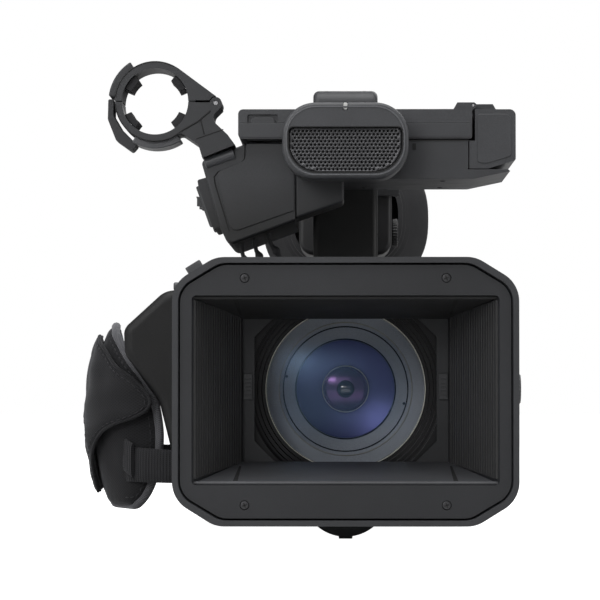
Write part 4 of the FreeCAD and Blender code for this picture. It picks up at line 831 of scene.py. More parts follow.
# Plate for the two switches, with ribs.
guard = []
for place in (-134.0, -90.6):
    guard.append(prism(curved([(-60.3, 144.6, 0.8), (-61.2, 142.4, 0.8), (-55.4, 126.0, 0.8),
                               (-54.4, 126.4)], 3), "XZ", place, 2.4))
for place in (-125.6, -103.6):
    for step in range(4):
        guard.append(slab((-61.3 + 0.3 * step, place + 2.0 + step * 1.1, 135.4),
                          (-60.1 + 0.3 * step, place + 2.6 + step * 1.1, 139.2)))
made("switch_guard_ribs", guard, "button_plastic", bevel=0.2)


def socket(x, z, label):
    """A three-pin audio socket: metal shell, black insert and pins."""
    start, end = -63.8, -49.4
    made(f"socket_shell_{label}",
         [lathe([(start + 1, 7.3), (end, 7.3), (end + 0.5, 7.6), (end + 0.5, 9.2), (end - 0.3, 9.4)],
                (x, 0, z), count=64),
          lathe([(start + 1, 7.3), (start + 1.4, 0.01)], (x, 0, z), count=64)], "shoe_metal", smooth=40)
    insert = turned_solid([(start + 1.4, 6.6), (start + 6.2, 6.6), (start + 6.4, 6.3)], (x, 0, z), count=48)
    pins = []
    for angle in (90, 210, 330):
        turn = math.radians(angle)
        spot = (x + 3.4 * math.cos(turn), 0, z + 3.4 * math.sin(turn))
        pins.append(turned_solid([(start + 6.0, 1.45), (start + 6.55, 1.45), (start + 6.6, 1.1)], spot,
                                 count=20))
    made(f"socket_insert_{label}", insert, "soft_rubber", smooth=40)
    made(f"socket_contacts_{label}", pins, "pin_steel", smooth=40)


socket(-44.6, 136.6, "1")
socket(-28.4, 142.4, "2")


def strap_loop(points, label):
    """One soft rubber tether with a bead half way."""
    path = resampled(points, 0.6)
    count = len(path)
    radii = []
    for i in range(count):
        share = i / (count - 1)
        radii.append(1.0 + 0.9 * math.exp(-((share - 0.62) / 0.12) ** 2) - 0.15 * math.sin(share * math.pi))
    return made(f"cap_tether_{label}", tube(path, radii, 12), "soft_rubber", smooth=60)


for label, x, z in (("1", -42.9, 119.4), ("2", -37.4, 121.4), ("3", -31.8, 123.6)):
    lean = 2.6 if label == "3" else 0.4
    curve = [(x, -121.5, z + 0.6), (x + 0.1, -121.5, z - 2.0), (x + 0.4 + lean * 0.3, -121.4, z - 4.2),
             (x + 1.6 + lean * 0.6, -121.2, z - 6.6), (x + 1.9 + lean, -120.8, z - 9.0),
             (x + 1.4 + lean * 1.4, -120.0, z - 10.8)]
    strap_loop(curve, label)
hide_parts("cap_tethers")


# ---------------------------------------------------------------- hood screws

heads, crosses = [], []
for x in (-38.4, 38.4):
    for z in (15.8, 102.2):
        heads.append(turned_solid([(-222.3, 1.55), (-223.55, 1.62), (-223.75, 1.4)], (x, 0, z), count=40))
        for angle in (20, 110):
            crosses.append(prism(bar((x, z), math.radians(angle), 1.0, 0.2), "XZ", -223.82, 0.2))
screw_heads = made("hood_screw_heads", heads, "screw_steel", bevel=0.1)
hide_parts("hood_screws")
made("hood_screw_crosses", crosses, "slot_black")

# ---------------------------------------------------------------- hand strap

STRAP = [Vector(point) for point in ((-72.5, -66.5), (-81, -63), (-94.5, -60), (-106, -44), (-109.8, -16),
                                    (-105, 12), (-90, 30), (-80, 33))]
MIDDLE_Z = 48.0


def smooth_path(points, gap=0.5, rounds=60):
    """A path with its corners worn round."""
    path = resampled([point.to_3d() for point in points], gap)
    for _ in range(rounds):
        path = [path[0]] + [(a + b * 2 + c) / 4 for a, b, c in zip(path, path[1:], path[2:])] + [path[-1]]
    return path


PLAN = smooth_path(STRAP)
PLAN_MIDDLE = min(range(len(PLAN)), key=lambda i: PLAN[i].x)


def plan_point(reach, z, outwards):
    """A point on the strap: reach is the distance along it, forwards from its outermost point."""
    place = min(len(PLAN) - 2, max(1, PLAN_MIDDLE - reach / 0.5))
    low = int(place)
    spot = PLAN[low].lerp(PLAN[low + 1], place - low)
    way = (PLAN[low + 1] - PLAN[low - 1]).normalized()
    normal = Vector((way.y, -way.x, 0))
    if normal.x > 0:
        normal = -normal
    waist = 1 - 0.22 * ((z - MIDDLE_Z) / 40) ** 2
    spot = Vector((-76 + (spot.x + 76) * waist, spot.y, 0))
    return spot + normal * outwards + Vector((0, 0, z))


def table(rows, z):
    """Read a value from (z, value) rows, between them along a smooth line."""
    rows = sorted(rows)
    if z <= rows[0][0]:
        return rows[0][1]
    for (z0, v0), (z1, v1) in zip(rows, rows[1:]):
        if z <= z1:
            share = (z - z0) / (z1 - z0)
            return v0 + (v1 - v0) * share
    return rows[-1][1]


def patch_edges(front_rows, rear_rows, low, high, count):
    """The front and rear reach of a patch at evenly rounded heights."""
    rows = []
    for i in range(count):
        z = (low + high) / 2 - (high - low) / 2 * math.cos(math.pi * (i + 0.25) / (count - 0.5))
        rows.append((z, table(rear_rows, z), table(front_rows, z)))
    for _ in range(3):
        soft = []
        for i, (z, rear, fore) in enumerate(rows):
            if 0 < i < len(rows) - 1:
                rear = (rows[i - 1][1] + 2 * rear + rows[i + 1][1]) / 4
                fore = (rows[i - 1][2] + 2 * fore + rows[i + 1][2]) / 4
            soft.append((z, rear, fore))
        rows = soft
    return rows


def quilt(rows, columns, offset, thick, lift=None, crumple=0.0, power=6):
    """A closed padded patch: two faces that meet round its edge."""
    points, faces = [], []
    grid = []
    for side in (1, -1):
        layer = []
        for i, (z, rear, fore) in enumerate(rows):
            v = 2 * (i + 0.5) / len(rows) - 1
            line = []
            for j in range(columns + 1):
                u = -math.cos(math.pi * j / columns)
                u = u * 0.55 + (2 * j / columns - 1) * 0.45
                full = max(0.0, 1 - abs(u) ** power) ** 0.5 * max(0.0, 1 - abs(v) ** (power + 4)) ** 0.5
                reach = (rear + fore) / 2 + (fore - rear) / 2 * u
                wave = math.sin(reach * 0.31 + z * 0.17) + math.sin(z * 0.43 - reach * 0.12)
                swell = side * thick / 2 * full + (crumple * wave * full if side > 0 else 0)
                raised = offset + (lift(reach, z) if lift else 0)
                if side < 0 and j in (0, columns):
                    line.append(grid[0][i][j])
                    continue
                line.append(len(points))
                points.append(tuple(plan_point(reach, z, raised + swell)))
            layer.append(line)
        grid.append(layer)
    for layer, flip in ((grid[0], False), (grid[1], True)):
        for lower, upper in zip(layer, layer[1:]):
            for j in range(columns):
                face = (lower[j], lower[j + 1], upper[j + 1], upper[j])
                face = tuple(dict.fromkeys(face))
                if len(face) > 2:
                    faces.append(face[::-1] if flip else face)
    for i in (0, len(rows) - 1):
        for j in range(columns):
            face = tuple(dict.fromkeys((grid[0][i][j], grid[0][i][j + 1], grid[1][i][j + 1], grid[1][i][j])))
            if len(face) > 2:
                faces.append(face)
    return points, faces


def rim(rows, offset, inset=0.0, lift=None):
    """The line round a patch's edge, drawn in by an inset."""
    low, high = rows[0][0] + inset, rows[-1][0] - inset

    def spot(reach, inwards, z):
        return plan_point(reach + inwards, min(max(z, low), high), offset + (lift(reach, z) if lift else 0))

    return ([spot(fore, -inset, z) for z, rear, fore in rows]
            + [spot(rear, inset, z) for z, rear, fore in reversed(rows)])


def closed_tube(path, radius, gap=1.2, soft=4):
    path = resampled(path + [path[0]], gap)[:-1]
    for _ in range(soft):
        path = [(path[i - 1] + path[i] * 2 + path[(i + 1) % len(path)]) / 4 for i in range(len(path))]
    return tube(path, radius, 10, closed=True)


PAD_FRONT = [(9.5, 47), (12, 52), (16, 56), (22, 59.5), (32, 62), (42, 63), (50, 61), (58, 60), (66, 54),
             (74, 45), (81, 34), (85.5, 24), (88, 13)]
PAD_REAR = [(9.5, 20), (12, 0), (16, -24), (22, -36), (32, -42), (48, -44), (62, -42), (72, -36),
            (80, -24), (85.5, -8), (88, 6)]
pad_rows = patch_edges(PAD_FRONT, PAD_REAR, 9.8, 87.6, 30)


def filled(item, path, voxel=2.0, pressure=4.0, margin=5.0, cap=2.6):
    """Plump a soft piece with a short cloth simulation that leaves its stitched margin where it is."""
    remesh = item.modifiers.new("remesh", "REMESH")
    remesh.mode = "VOXEL"
    remesh.voxel_size = voxel * MM
    bpy.context.view_layer.update()
    mesh = bpy.data.meshes.new_from_object(item.evaluated_get(bpy.context.evaluated_depsgraph_get()))
    item.modifiers.clear()
    item.data = mesh
    start = [vertex.co.copy() for vertex in mesh.vertices]
    rim_points = [Vector(point) * MM for point in path]
    near = []
    for i, spot in enumerate(start):
        if min((spot - point).length for point in rim_points) < margin * MM:
            near.append(i)
    held = item.vertex_groups.new(name="margin")
    held.add(near, 1.0, "REPLACE")
    cloth_look = item.modifiers.new("cloth", "CLOTH")
    cloth_look.settings.vertex_group_mass = held.name
    cloth_look.settings.use_pressure = True
    cloth_look.settings.uniform_pressure_force = pressure
    cloth_look.settings.effector_weights.gravity = 0
    for step in range(1, 21):
        scene.frame_set(step)
    swollen = item.evaluated_get(bpy.context.evaluated_depsgraph_get()).to_mesh()
    ends = [vertex.co.copy() for vertex in swollen.vertices]
    item.modifiers.clear()
    scene.frame_set(1)
    for vertex, first, last in zip(mesh.vertices, start, ends):
        move = last - first
        if move.length > cap * MM:
            move *= cap * MM / move.length
        vertex.co = first + move
    mesh.polygons.foreach_set("use_smooth", [True] * len(mesh.polygons))
    finer = item.modifiers.new("finer", "SUBSURF")
    finer.levels = finer.render_levels = 1


pad = made("strap_pad_cushion", quilt(pad_rows, 34, 0, 6.4, crumple=0.16), "strap_fabric", smooth=70)
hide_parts("strap_pad")
filled(pad, rim(pad_rows, 0.2))
made("strap_pad_piping", closed_tube(rim(pad_rows, 0.2), 1.9), "strap_binding", smooth=70)
made("strap_pad_stitching", stitched(rim(pad_rows, 2.9, 3.4)[:30]), "thread")

FLAP_FRONT = [(14.5, 18), (18, 21.5), (24, 24.5), (32, 28), (38, 32.5), (43, 40), (47, 51), (50.5, 62),
              (53.5, 65), (58, 59), (66, 50), (74, 39), (80, 28), (84, 15)]
FLAP_REAR = [(14.5, 0), (17, -18), (22, -28), (32, -33), (60, -33), (72, -28), (80, -14), (84, 2)]
flap_rows = patch_edges(FLAP_FRONT, FLAP_REAR, 14.8, 83.6, 40)


def flap_lift(reach, z):
    """The flap stands off the pad near its lower front edge, where the webbing comes out."""
    near = max(0.0, min(1.0, (reach - 8) / 30)) * max(0.0, 1 - abs(z - 42) / 30)
    return 1.6 * near


flap = made("strap_flap_cover", quilt(flap_rows, 34, 5.7, 2.6, flap_lift, 0.3, 9), "strap_fabric",
            smooth=70)
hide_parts("strap_flap")
made("strap_flap_binding", closed_tube(rim(flap_rows, 6.2, 0.2, flap_lift), 0.75), "strap_fabric",
     smooth=70)
made("strap_flap_stitching", stitched(rim(flap_rows, 7.05, 3.0, flap_lift)[:34]), "thread")
tab_line = []
for z in (56.5, 61, 65, 69, 73, 77):
    tab_root = plan_point(2, z, 5.9)
    tab_line.append(Vector((tab_root.x - 0.9 * math.sin((z - 57) / 20 * 2.4), tab_root.y, z)))
tab_points, tab_faces = [], []
for spot, wide in zip(tab_line, (3.0, 3.2, 3.2, 3.0, 2.4, 1.0)):
    for dx, dy in ((-0.8, -wide), (0.8, -wide), (0.8, wide), (-0.8, wide)):
        tab_points.append((spot.x + dx, spot.y + dy, spot.z))
for i in range(len(tab_line) - 1):
    for k in range(4):
        tab_faces.append((i * 4 + k, i * 4 + (k + 1) % 4, (i + 1) * 4 + (k + 1) % 4, (i + 1) * 4 + k))
tab_faces += [(0, 1, 2, 3), tuple(len(tab_line) * 4 - 4 + k for k in range(4))]
pull = made("strap_pull_tab", (tab_points, tab_faces), "strap_binding", smooth=70)
pull.modifiers.new("soft", "SUBSURF").levels = 2
pull.modifiers["soft"].render_levels = 2


def webbing(path, low, high, thick, rib=0.26, pitch=1.35):
    """A ribbed woven strap that stands on edge along a plan path; low and high may lean along it."""
    path = smooth_path([Vector(point) for point in path], 0.17, 90)
    points, faces = [], []
    count = len(path)
    levels = 9
    for i, spot in enumerate(path):
        before, after = path[max(0, i - 1)], path[min(count - 1, i + 1)]
        way = (after - before).normalized()
        normal = Vector((way.y, -way.x, 0))
        share = i / (count - 1)
        swell = rib * (0.5 + 0.5 * math.cos(2 * math.pi * i * 0.17 / pitch))
        base, top = low[0] + (low[1] - low[0]) * share, high[0] + (high[1] - high[0]) * share
        for side in (1, -1):
            for k in range(levels):
                v = k / (levels - 1)
                edge = 1 - abs(2 * v - 1) ** 8 * 0.6
                out = (thick / 2 + swell) * edge * side
                points.append(tuple(spot + normal * out + Vector((0, 0, base + (top - base) * v))))
    ring = levels * 2
    for i in range(count - 1):
        a, b = i * ring, (i + 1) * ring
        for k in range(levels - 1):
            faces.append((a + k, a + k + 1, b + k + 1, b + k))
            faces.append((a + levels + k, b + levels + k, b + levels + k + 1, a + levels + k + 1))
        faces.append((a, b, b + levels, a + levels))
        faces.append((a + levels - 1, a + 2 * levels - 1, b + 2 * levels - 1, b + levels - 1))
    for base in (0, (count - 1) * ring):
        for k in range(levels - 1):
            faces.append((base + k, base + levels + k, base + levels + k + 1, base + k + 1))
    return points, faces


front_web = made("strap_webbing_front",
                 webbing(((-101.5, -44), (-98, -54), (-93, -62.5), (-86, -68), (-77, -71.5),
                          (-66, -72.3)), (20.5, 19.5), (36, 33.5), 1.5), "strap_web", smooth=70)
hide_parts("strap_webbing")
made("strap_webbing_rear",
     webbing(((-100, 16), (-93, 27), (-84, 32), (-74, 33), (-64, 30.5)), (21, 20), (35, 34), 1.5),
     "strap_web", smooth=70)
made("strap_webbing_fold",
     webbing(((-97.5, -55.5), (-94.5, -62.5), (-91.6, -66.4)), (27, 22), (41, 36.5), 1.4, 0.2),
     "strap_web", smooth=70)
# The moulded anchor that the webbing loops through at the grip's front.
made("strap_anchor",
     [prism(box_outline((-70, 15.5), (-61, 38), 2, 4), "XZ", -73.6, 3.6),
      turned_solid([(-74.2, 1.6), (-74.4, 1.9), (-73.4, 2.2)], (-65.5, 0, 26.5), count=32)],
     "body_plastic", bevel=0.4)


# ---------------------------------------------------------------- audio box neck and shoulder

made("audio_box_neck",
     prism([(-20.6, 160.2), (-20.6, 129.2), (-0.6, 136.2), (-0.6, 160.2)], "XZ", -139.6, 28),
     "audio_moulding_painted_shade", bevel=1.2)
# Painted highlight: the shoulder tube's lighter plastic stands for the light along its real rounded top.
made("audio_box_shoulder",
     tube([(-57.4, -139.3, 151.9), (-57.0, -139.3, 152.0), (-45.6, -139.3, 155.9),
           (-45.2, -139.3, 156.0)], [1.6, 2.4, 2.4, 1.6], 24), "shoulder_painted_highlight",
     smooth=50)

# ---------------------------------------------------------------- microphone clamp

CLAMP = (-77.4, 0, 176.9)


def arc_path(angle_from, angle_to, radius, y, step=3):
    """Points round the clamp's axis, at one depth."""
    count = max(2, int(abs(angle_to - angle_from) / step))
    out = []
    for i in range(count + 1):
        angle = math.radians(angle_from + (angle_to - angle_from) * i / count)
        out.append((CLAMP[0] + radius * math.cos(angle), y, CLAMP[2] + radius * math.sin(angle)))
    return out


def arc_band(angle_from, angle_to, inner, outer, y, length):
    ring = [(x, z) for x, _, z in arc_path(angle_from, angle_to, outer, 0)]
    ring += [(x, z) for x, _, z in arc_path(angle_to, angle_from, inner, 0)]
    return prism(ring, "XZ", y, length)


made("clamp_band_upper", arc_band(122, 173, 16.0, 19.1, -143.8, 19.6), "clamp_plastic", body="clamp_arm",
     bevel=0.5)
# The lower band's lighter plastic is painted highlight.
made("clamp_band_lower", arc_band(240, 304, 16.0, 19.0, -143.0, 18.0), "shoulder_painted_highlight",
     bevel=0.5)
made("clamp_seam_upper", tube(arc_path(62, 174, 16.15, -145.05), 0.22, 8), "slot_black",
     body="clamp_arm")
made("clamp_seam_lower",
     [tube(arc_path(184, 312, 16.15, -145.05), 0.22, 8),
      tube([(-67.0, -145.05, 164.6), (-60.0, -145.05, 168.6), (-54.9, -145.05, 172.9)], 0.34, 8),
      tube([(-58.8, -145.05, 169.2), (-57.4, -145.05, 163.4)], 0.26, 8),
      tube([(-60.6, -145.05, 161.6), (-49.6, -145.05, 165.4)], 0.2, 8)], "slot_black")

# ---------------------------------------------------------------- lens rings

RING_OUT, RING_IN = 50.0, 46.05
# Each ring's body, front and rear edge, and number of ridges.
RINGS = (("focus", -154.4, -125.4, 84), ("zoom", -124.2, -99.2, 72), ("iris", -98.0, -80.0, 96))
MARK_LENGTH = 1.4


def rib_wave(ridges, depth, rows):
    """A lathe wave that presses grooves between ridges into some of the profile's rows."""
    def wave(angle, index):
        if index not in rows:
            return 0
        return -depth * max(0.0, min(1.0, 0.5 - 1.8 * math.sin(ridges * angle)))
    return wave


def control_ring(name, node, body, start, end, ridges):
    """A lens ring with a ribbed rubber band between two smooth edges."""
    low, high = start + 2.6, end - 2.6
    profile = [(start, RING_IN), (start, RING_OUT - 0.8), (start + 0.6, RING_OUT - 0.15),
               (low - 0.5, RING_OUT - 0.15), (low - 0.3, RING_OUT - 0.9), (low, RING_OUT - 0.9),
               (low + 0.5, RING_OUT - 0.1), (high - 0.5, RING_OUT - 0.1), (high, RING_OUT - 0.9),
               (high + 0.3, RING_OUT - 0.9), (high + 0.5, RING_OUT - 0.15), (end - 0.6, RING_OUT - 0.15),
               (end, RING_OUT - 0.8), (end, RING_IN)]
    item = made(name,
                lathe(profile, AXIS, count=ridges * 8, closed=True, wave=rib_wave(ridges, 0.75, (6, 7))),
                "ring_rubber", body=body, smooth=40)
    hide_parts(node)


for label, start, end, ridges in RINGS:
    control_ring(f"{label}_ring_grip", f"{label}_ring", label, start, end, ridges)


def ring_marks(angles, start, end, width=0.35):
    """Short pale lines across a ring's smooth edge."""
    parts = []
    for angle in angles:
        turn = math.radians(angle)
        out, along = Vector((math.cos(turn), math.sin(turn))), Vector((-math.sin(turn), math.cos(turn)))
        foot, top, half = RING_OUT - 0.3, RING_OUT - 0.08, width / 2
        corners = [out * r + along * w for r, w in ((foot, -half), (top, -half), (top, half), (foot, half))]
        parts.append(prism([(c.x, c.y + AXIS_Z / MM) for c in corners], "XZ", start, end - start))
    return gathered(*parts)


# Each scale's ring, first angle, pitch in degrees, number of marks and front edge.
for label, first, pitch, count, start in (("focus", 20, 7, 12, -127.2), ("zoom", 18, 9, 9, -101.0),
                                          ("iris", 24, 8, 8, -97.6)):
    scale = ring_marks([first + pitch * i for i in range(count)], start, start + MARK_LENGTH)
    made(f"{label}_marks", scale, "pale_mark", body=label)

# ---------------------------------------------------------------- small fittings

PLANES = {"X": "YZ", "Y": "XZ", "Z": "XY"}


def placed_on(axis, a, b, along):
    """A point from the two coordinates across an axis and the one along it."""
    return placed(PLANES[axis], a, b, along)


def fitting(profile, axis, a, b, count=40):
    """A turned solid on an axis through (a, b), from (place, radius) points."""
    return turned_solid(profile, placed_on(axis, a, b, 0), axis, count)


def screws(name, spots, axis, face, way, radius=1.5, body="camera"):
    """Cross-head screws whose heads stand 0.5 mm proud of a face."""
    heads, crosses = [], []
    for number, (a, b) in enumerate(spots):
        heads.append(fitting([(face - 0.2 * way, radius), (face + 0.35 * way, radius),
                              (face + 0.5 * way, radius * 0.85)], axis, a, b, 32))
        for angle in (15 + 31 * number, 105 + 31 * number):
            turn = math.radians(angle)
            crosses.append(prism(bar((a, b), turn, radius * 0.62, 0.18), PLANES[axis], face + 0.36 * way,
                                 0.17 * way))
    made(name, heads, "screw_steel", body=body, bevel=0.08)
    made(name + "_crosses", crosses, "slot_black", body=body)


def knob(name, node, body, axis, a, b, profile, ridges, depth, rows, material="button_plastic", mark=None):
    """A knurled knob in place of a plain one, with a pale pointer on its face."""
    centre = placed_on(axis, a, b, 0)
    full = [(profile[0][0], 0.0001)] + list(profile) + [(profile[-1][0], 0.0001)]
    item = made(name, lathe(full, centre, axis, ridges * 6, wave=rib_wave(ridges, depth, rows)), material,
                body=body, smooth=40)
    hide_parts(node)
    if mark:
        face, inner, outer = mark
        made(name + "_pointer",
             prism([(a - 0.3, b + inner), (a + 0.3, b + inner), (a + 0.3, b + outer),
                    (a - 0.3, b + outer)], PLANES[axis], face - 0.2, 0.28), "pale_mark",
             body=body)


knob("nd_dial_grip", "nd_dial", "nd_control", "X", -46, 84,
     [(54.4, 2.0), (56.2, 2.0), (56.2, 8.4), (56.6, 9.0), (60.6, 9.0), (61.2, 8.5), (61.6, 7.4),
      (61.9, 6.2), (61.5, 5.6)], 30, 0.5, (4, 5), mark=(61.6, 2.2, 5.4))
for label, y in (("1", 30), ("2", 52)):
    knob(f"level_dial_{label}", f"audio_dial_{label}", f"level_knob_{label}", "X", y, 61,
         [(54.4, 2.0), (56.3, 2.0), (56.3, 5.2), (56.6, 5.5), (59.6, 5.5), (60.2, 5.0), (60.4, 4.2)], 24,
         0.35, (4, 5), mark=(60.4, 1.2, 3.9))
knob("diopter_knob", "diopter_dial", "diopter", "X", 104, 135.5,
     [(22.5, 6.0), (22.8, 6.8), (24.8, 7.0), (25.2, 6.5), (25.35, 5.2)], 30, 0.35, (2, 3),
     "dark_moulding", mark=(25.35, 2.0, 4.8))

# ---------------------------------------------------------------- left side panel

SIDE_FACE = 56.1


def pill(y, z, wide, tall, radius):
    return box_outline((y - wide / 2, z - tall / 2), (y + wide / 2, z + tall / 2), radius, 5)


keys, wells = [], []
for i in range(5):
    keys.append(prism(pill(-24 + 15 * i, 89, 10, 4.6, 2.2), "YZ", SIDE_FACE - 0.1, 1.0))
    wells.append(prism(pill(-24 + 15 * i, 89, 11, 5.6, 2.7), "YZ", SIDE_FACE - 0.2, 0.28))
for i in range(4):
    keys.append(fitting([(SIDE_FACE - 0.1, 3.0), (SIDE_FACE + 1.0, 3.0), (SIDE_FACE + 1.3, 2.5)], "X",
                        18 + 14 * i, 34))
    wells.append(fitting([(SIDE_FACE - 0.2, 3.6), (SIDE_FACE + 0.08, 3.6)], "X", 18 + 14 * i, 34))
for i in range(3):
    wells.append(prism(pill(-24 + 13 * i, 66, 5.0, 11.0, 1.2), "YZ", SIDE_FACE - 0.2, 0.3))
    keys.append(prism(pill(-24 + 13 * i, 64 + 2.4 * (i % 2), 3.6, 5.0, 0.8), "YZ", SIDE_FACE - 0.1, 1.8))
made("side_keys", keys, "button_plastic", bevel=0.3)
made("side_key_wells", wells, "slot_black")
vents = []
for i in range(9):
    vents.append(prism(pill(60 + 2.0 * i, 88, 1.0, 12, 0.45), "YZ", SIDE_FACE - 0.2, 0.25))
for i in range(7):
    vents.append(prism(pill(-28 + 3.4 * i, 38, 1.5, 14, 0.7), "YZ", SIDE_FACE - 0.2, 0.25))
made("side_vents", vents, "slot_black")
marks = [prism(pill(-24 + 15 * i, 94.0, 5.0, 0.5, 0.2), "YZ", SIDE_FACE - 0.1, 0.15) for i in range(5)]
for angle in (-30, -10, 10, 30):
    turn = math.radians(angle)
    mark = pill(-46 + 12.4 * math.sin(turn), 84 + 12.4 * math.cos(turn), 0.6, 1.6, 0.25)
    marks.append(prism(mark, "YZ", SIDE_FACE - 0.1, 0.15))
made("side_marks", marks, "pale_mark")
made("side_panel_gap",
     frame_ring(curved([(-61.2, 22.8, 7), (83.2, 22.8, 7), (83.2, 101.2, 7), (-61.2, 101.2, 13)], 8),
                curved([(-60.2, 23.8, 6), (82.2, 23.8, 6), (82.2, 100.2, 6), (-60.2, 100.2, 12)], 8),
                "YZ", 53.9, 0.28), "slot_black")
screws("side_screws", [(-65.5, 18), (86, 18), (86, 104), (-40, 16)], "X", 54.0, 1, 1.6)
screws("right_side_screws", [(80, 18), (80, 100), (45, 104)], "X", -44.0, -1, 1.6)

# ---------------------------------------------------------------- top deck

DECK = 112.0
deck = []
for x, y in ((-38, -30), (24, 10)):
    for i in range(7):
        deck.append(slab((x + 2.6 * i, y, DECK - 0.1), (x + 1.2 + 2.6 * i, y + 52, DECK + 0.06)))
made("deck_vents", deck, "slot_black")
made("deck_seam", slab((3.75, -71.5, 111.9), (4.25, 91.5, 112.05)), "slot_black")
screws("deck_screws", [(-38, -62), (48, -62), (-38, 80), (48, 80)], "Z", DECK, 1, 1.6)

# ---------------------------------------------------------------- handle

pad = [prism(box_outline((-9.6, -32), (9.6, 28), 3, 5), "XY", 165.2, 0.9)]
pad += [slab((-8.6, -29 + 3.6 * i, 164.7), (8.6, -27.2 + 3.6 * i, 165.4)) for i in range(16)]
made("handle_pad", pad, "soft_rubber", bevel=0.3)
seams = []
for start, end, z in ((-60, 58, 176.6), (-75, -48.6, 126.0), (44.6, 69, 126.0)):
    for x in (13.7, -13.86):
        seams.append(slab((x, start, z), (x + 0.16, end, z + 0.4)))
made("handle_seams", seams, "slot_black")
screws("handle_screws", [(-8, -64), (8, -64), (-8, 44), (8, 44)], "Z", 188.0, 1, 1.5)
screws("shoe_screws", [(-5, 14), (5, 14), (-5, 26), (5, 26)], "Z", 189.6, 1, 1.1)
made("handle_record_guard",
     lathe([(187.8, 6.2), (188.6, 6.3), (188.9, 6.9), (188.6, 7.5), (187.8, 7.6)], (0, -50, 0), "Z", 64),
     "pale_trim_and_edge_highlight", smooth=50)

# ---------------------------------------------------------------- grip

made("record_guard",
     lathe([(27.6, 6.1), (28.6, 6.2), (29.1, 6.9), (28.6, 7.7), (27.6, 7.8)], (-66, 0, 84), "Y", 64),
     "pale_trim_and_edge_highlight", smooth=50)
rear_keys = [fitting([(27.8, 3.4), (29.0, 3.4), (29.3, 2.9)], "Y", -62, 62),
             fitting([(27.8, 3.4), (29.0, 3.4), (29.3, 2.9)], "Y", -74, 66)]
made("grip_rear_keys", rear_keys, "button_plastic", bevel=0.2)
screws("grip_screws", [(-52, 18), (-52, 96), (-84, 80)], "Y", 28.0, 1, 1.5)
made("grip_gap",
     [slab((-44.6, 27.9, 12.5), (-44.2, 28.08, 102.5)),
      slab((-44.6, -69.0, 103.0), (-44.2, 27.0, 103.2))], "slot_black")

# ---------------------------------------------------------------- rear panel, battery, card door

REAR = 95.0
made("rear_connectors",
     [lathe([(92.4, 3.2), (98.0, 3.2), (98.4, 3.5), (98.4, 4.1), (98.0, 4.4), (92.4, 4.4)], (x, 0, z),
            count=48)
      for x, z in ((-33, 30), (-33, 46))], "shoe_metal", smooth=40)
made("rear_connector_cores",
     [*[fitting([(92.4, 2.9), (95.6, 2.9), (95.7, 2.6)], "Y", x, z) for x, z in ((-33, 30), (-33, 46))],
      fitting([(92.4, 4.3), (94.6, 4.3), (94.7, 4.0)], "Y", 38, 96),
      fitting([(92.4, 3.0), (94.4, 3.0), (94.5, 2.6)], "Y", 46, 20)], "soft_rubber", smooth=40)
made("rear_pins",
     [*[fitting([(95.2, 0.55), (97.6, 0.55), (97.9, 0.3)], "Y", x, z, 16)
        for x, z in ((-33, 30), (-33, 46))],
      fitting([(94.0, 0.9), (94.9, 0.9), (95.0, 0.7)], "Y", 46, 20, 20)], "pin_steel", smooth=40)
made("rear_cover_seam",
     frame_ring(box_outline((-42.0, 60), (-24.0, 104), 2, 4),
                box_outline((-41.6, 60.4), (-24.4, 103.6), 1.6, 4), "XZ", 94.9, 0.2), "slot_black")
made("rear_cover_tab", prism(box_outline((-36, 57.6), (-30, 60.6), 1, 4), "XZ", 94.8, 1.2), "soft_rubber",
     bevel=0.3)
screws("rear_screws", [(-39, 14), (49.5, 14), (-39, 106), (49.5, 106), (10, 106)], "Y", REAR, 1, 1.5)
ribs = [slab((-15 + 3.0 * i, 98.8, 80.0), (-13.4 + 3.0 * i, 99.6, 86.5)) for i in range(12)]
made("battery_ribs", ribs, "battery_plastic", body="battery", bevel=0.25)
made("battery_label_edge",
     frame_ring(box_outline((-15.5, 36), (19.5, 74), 2, 4),
                box_outline((-15.0, 36.5), (19.0, 73.5), 1.6, 4), "XZ", 98.9, 0.25), "pale_trim_and_edge_highlight",
     body="battery")
made("battery_lamps",
     [fitting([(98.8, 0.8), (99.15, 0.8), (99.25, 0.5)], "Y", -6 + 4 * i, 29, 16) for i in range(5)],
     "pale_mark", body="battery", smooth=40)
made("card_door_notch", prism(box_outline((33.2, 52), (36.4, 66), 1.4, 5), "XZ", 97.2, 0.35),
     "slot_black", body="card_cover")
made("card_door_lines",
     [slab((38.4, 97.2, 84.0), (48.6, 97.5, 84.5)), slab((38.4, 97.2, 33.5), (48.6, 97.5, 34.0))],
     "pale_mark", body="card_cover")

# ---------------------------------------------------------------- viewfinder

FINDER_Z = 144.5
CUP_STEPS = 96


def oval(half_wide, half_tall, power, count=CUP_STEPS):
    """Points round a softened oval, about the viewfinder's axis."""
    out = []
    for i in range(count):
        angle = 2 * math.pi * i / count
        across, up = math.cos(angle), math.sin(angle)
        x = half_wide * math.copysign(abs(across) ** (2 / power), across)
        z = half_tall * math.copysign(abs(up) ** (2 / power), up)
        out.append((x, FINDER_Z + z))
    return out


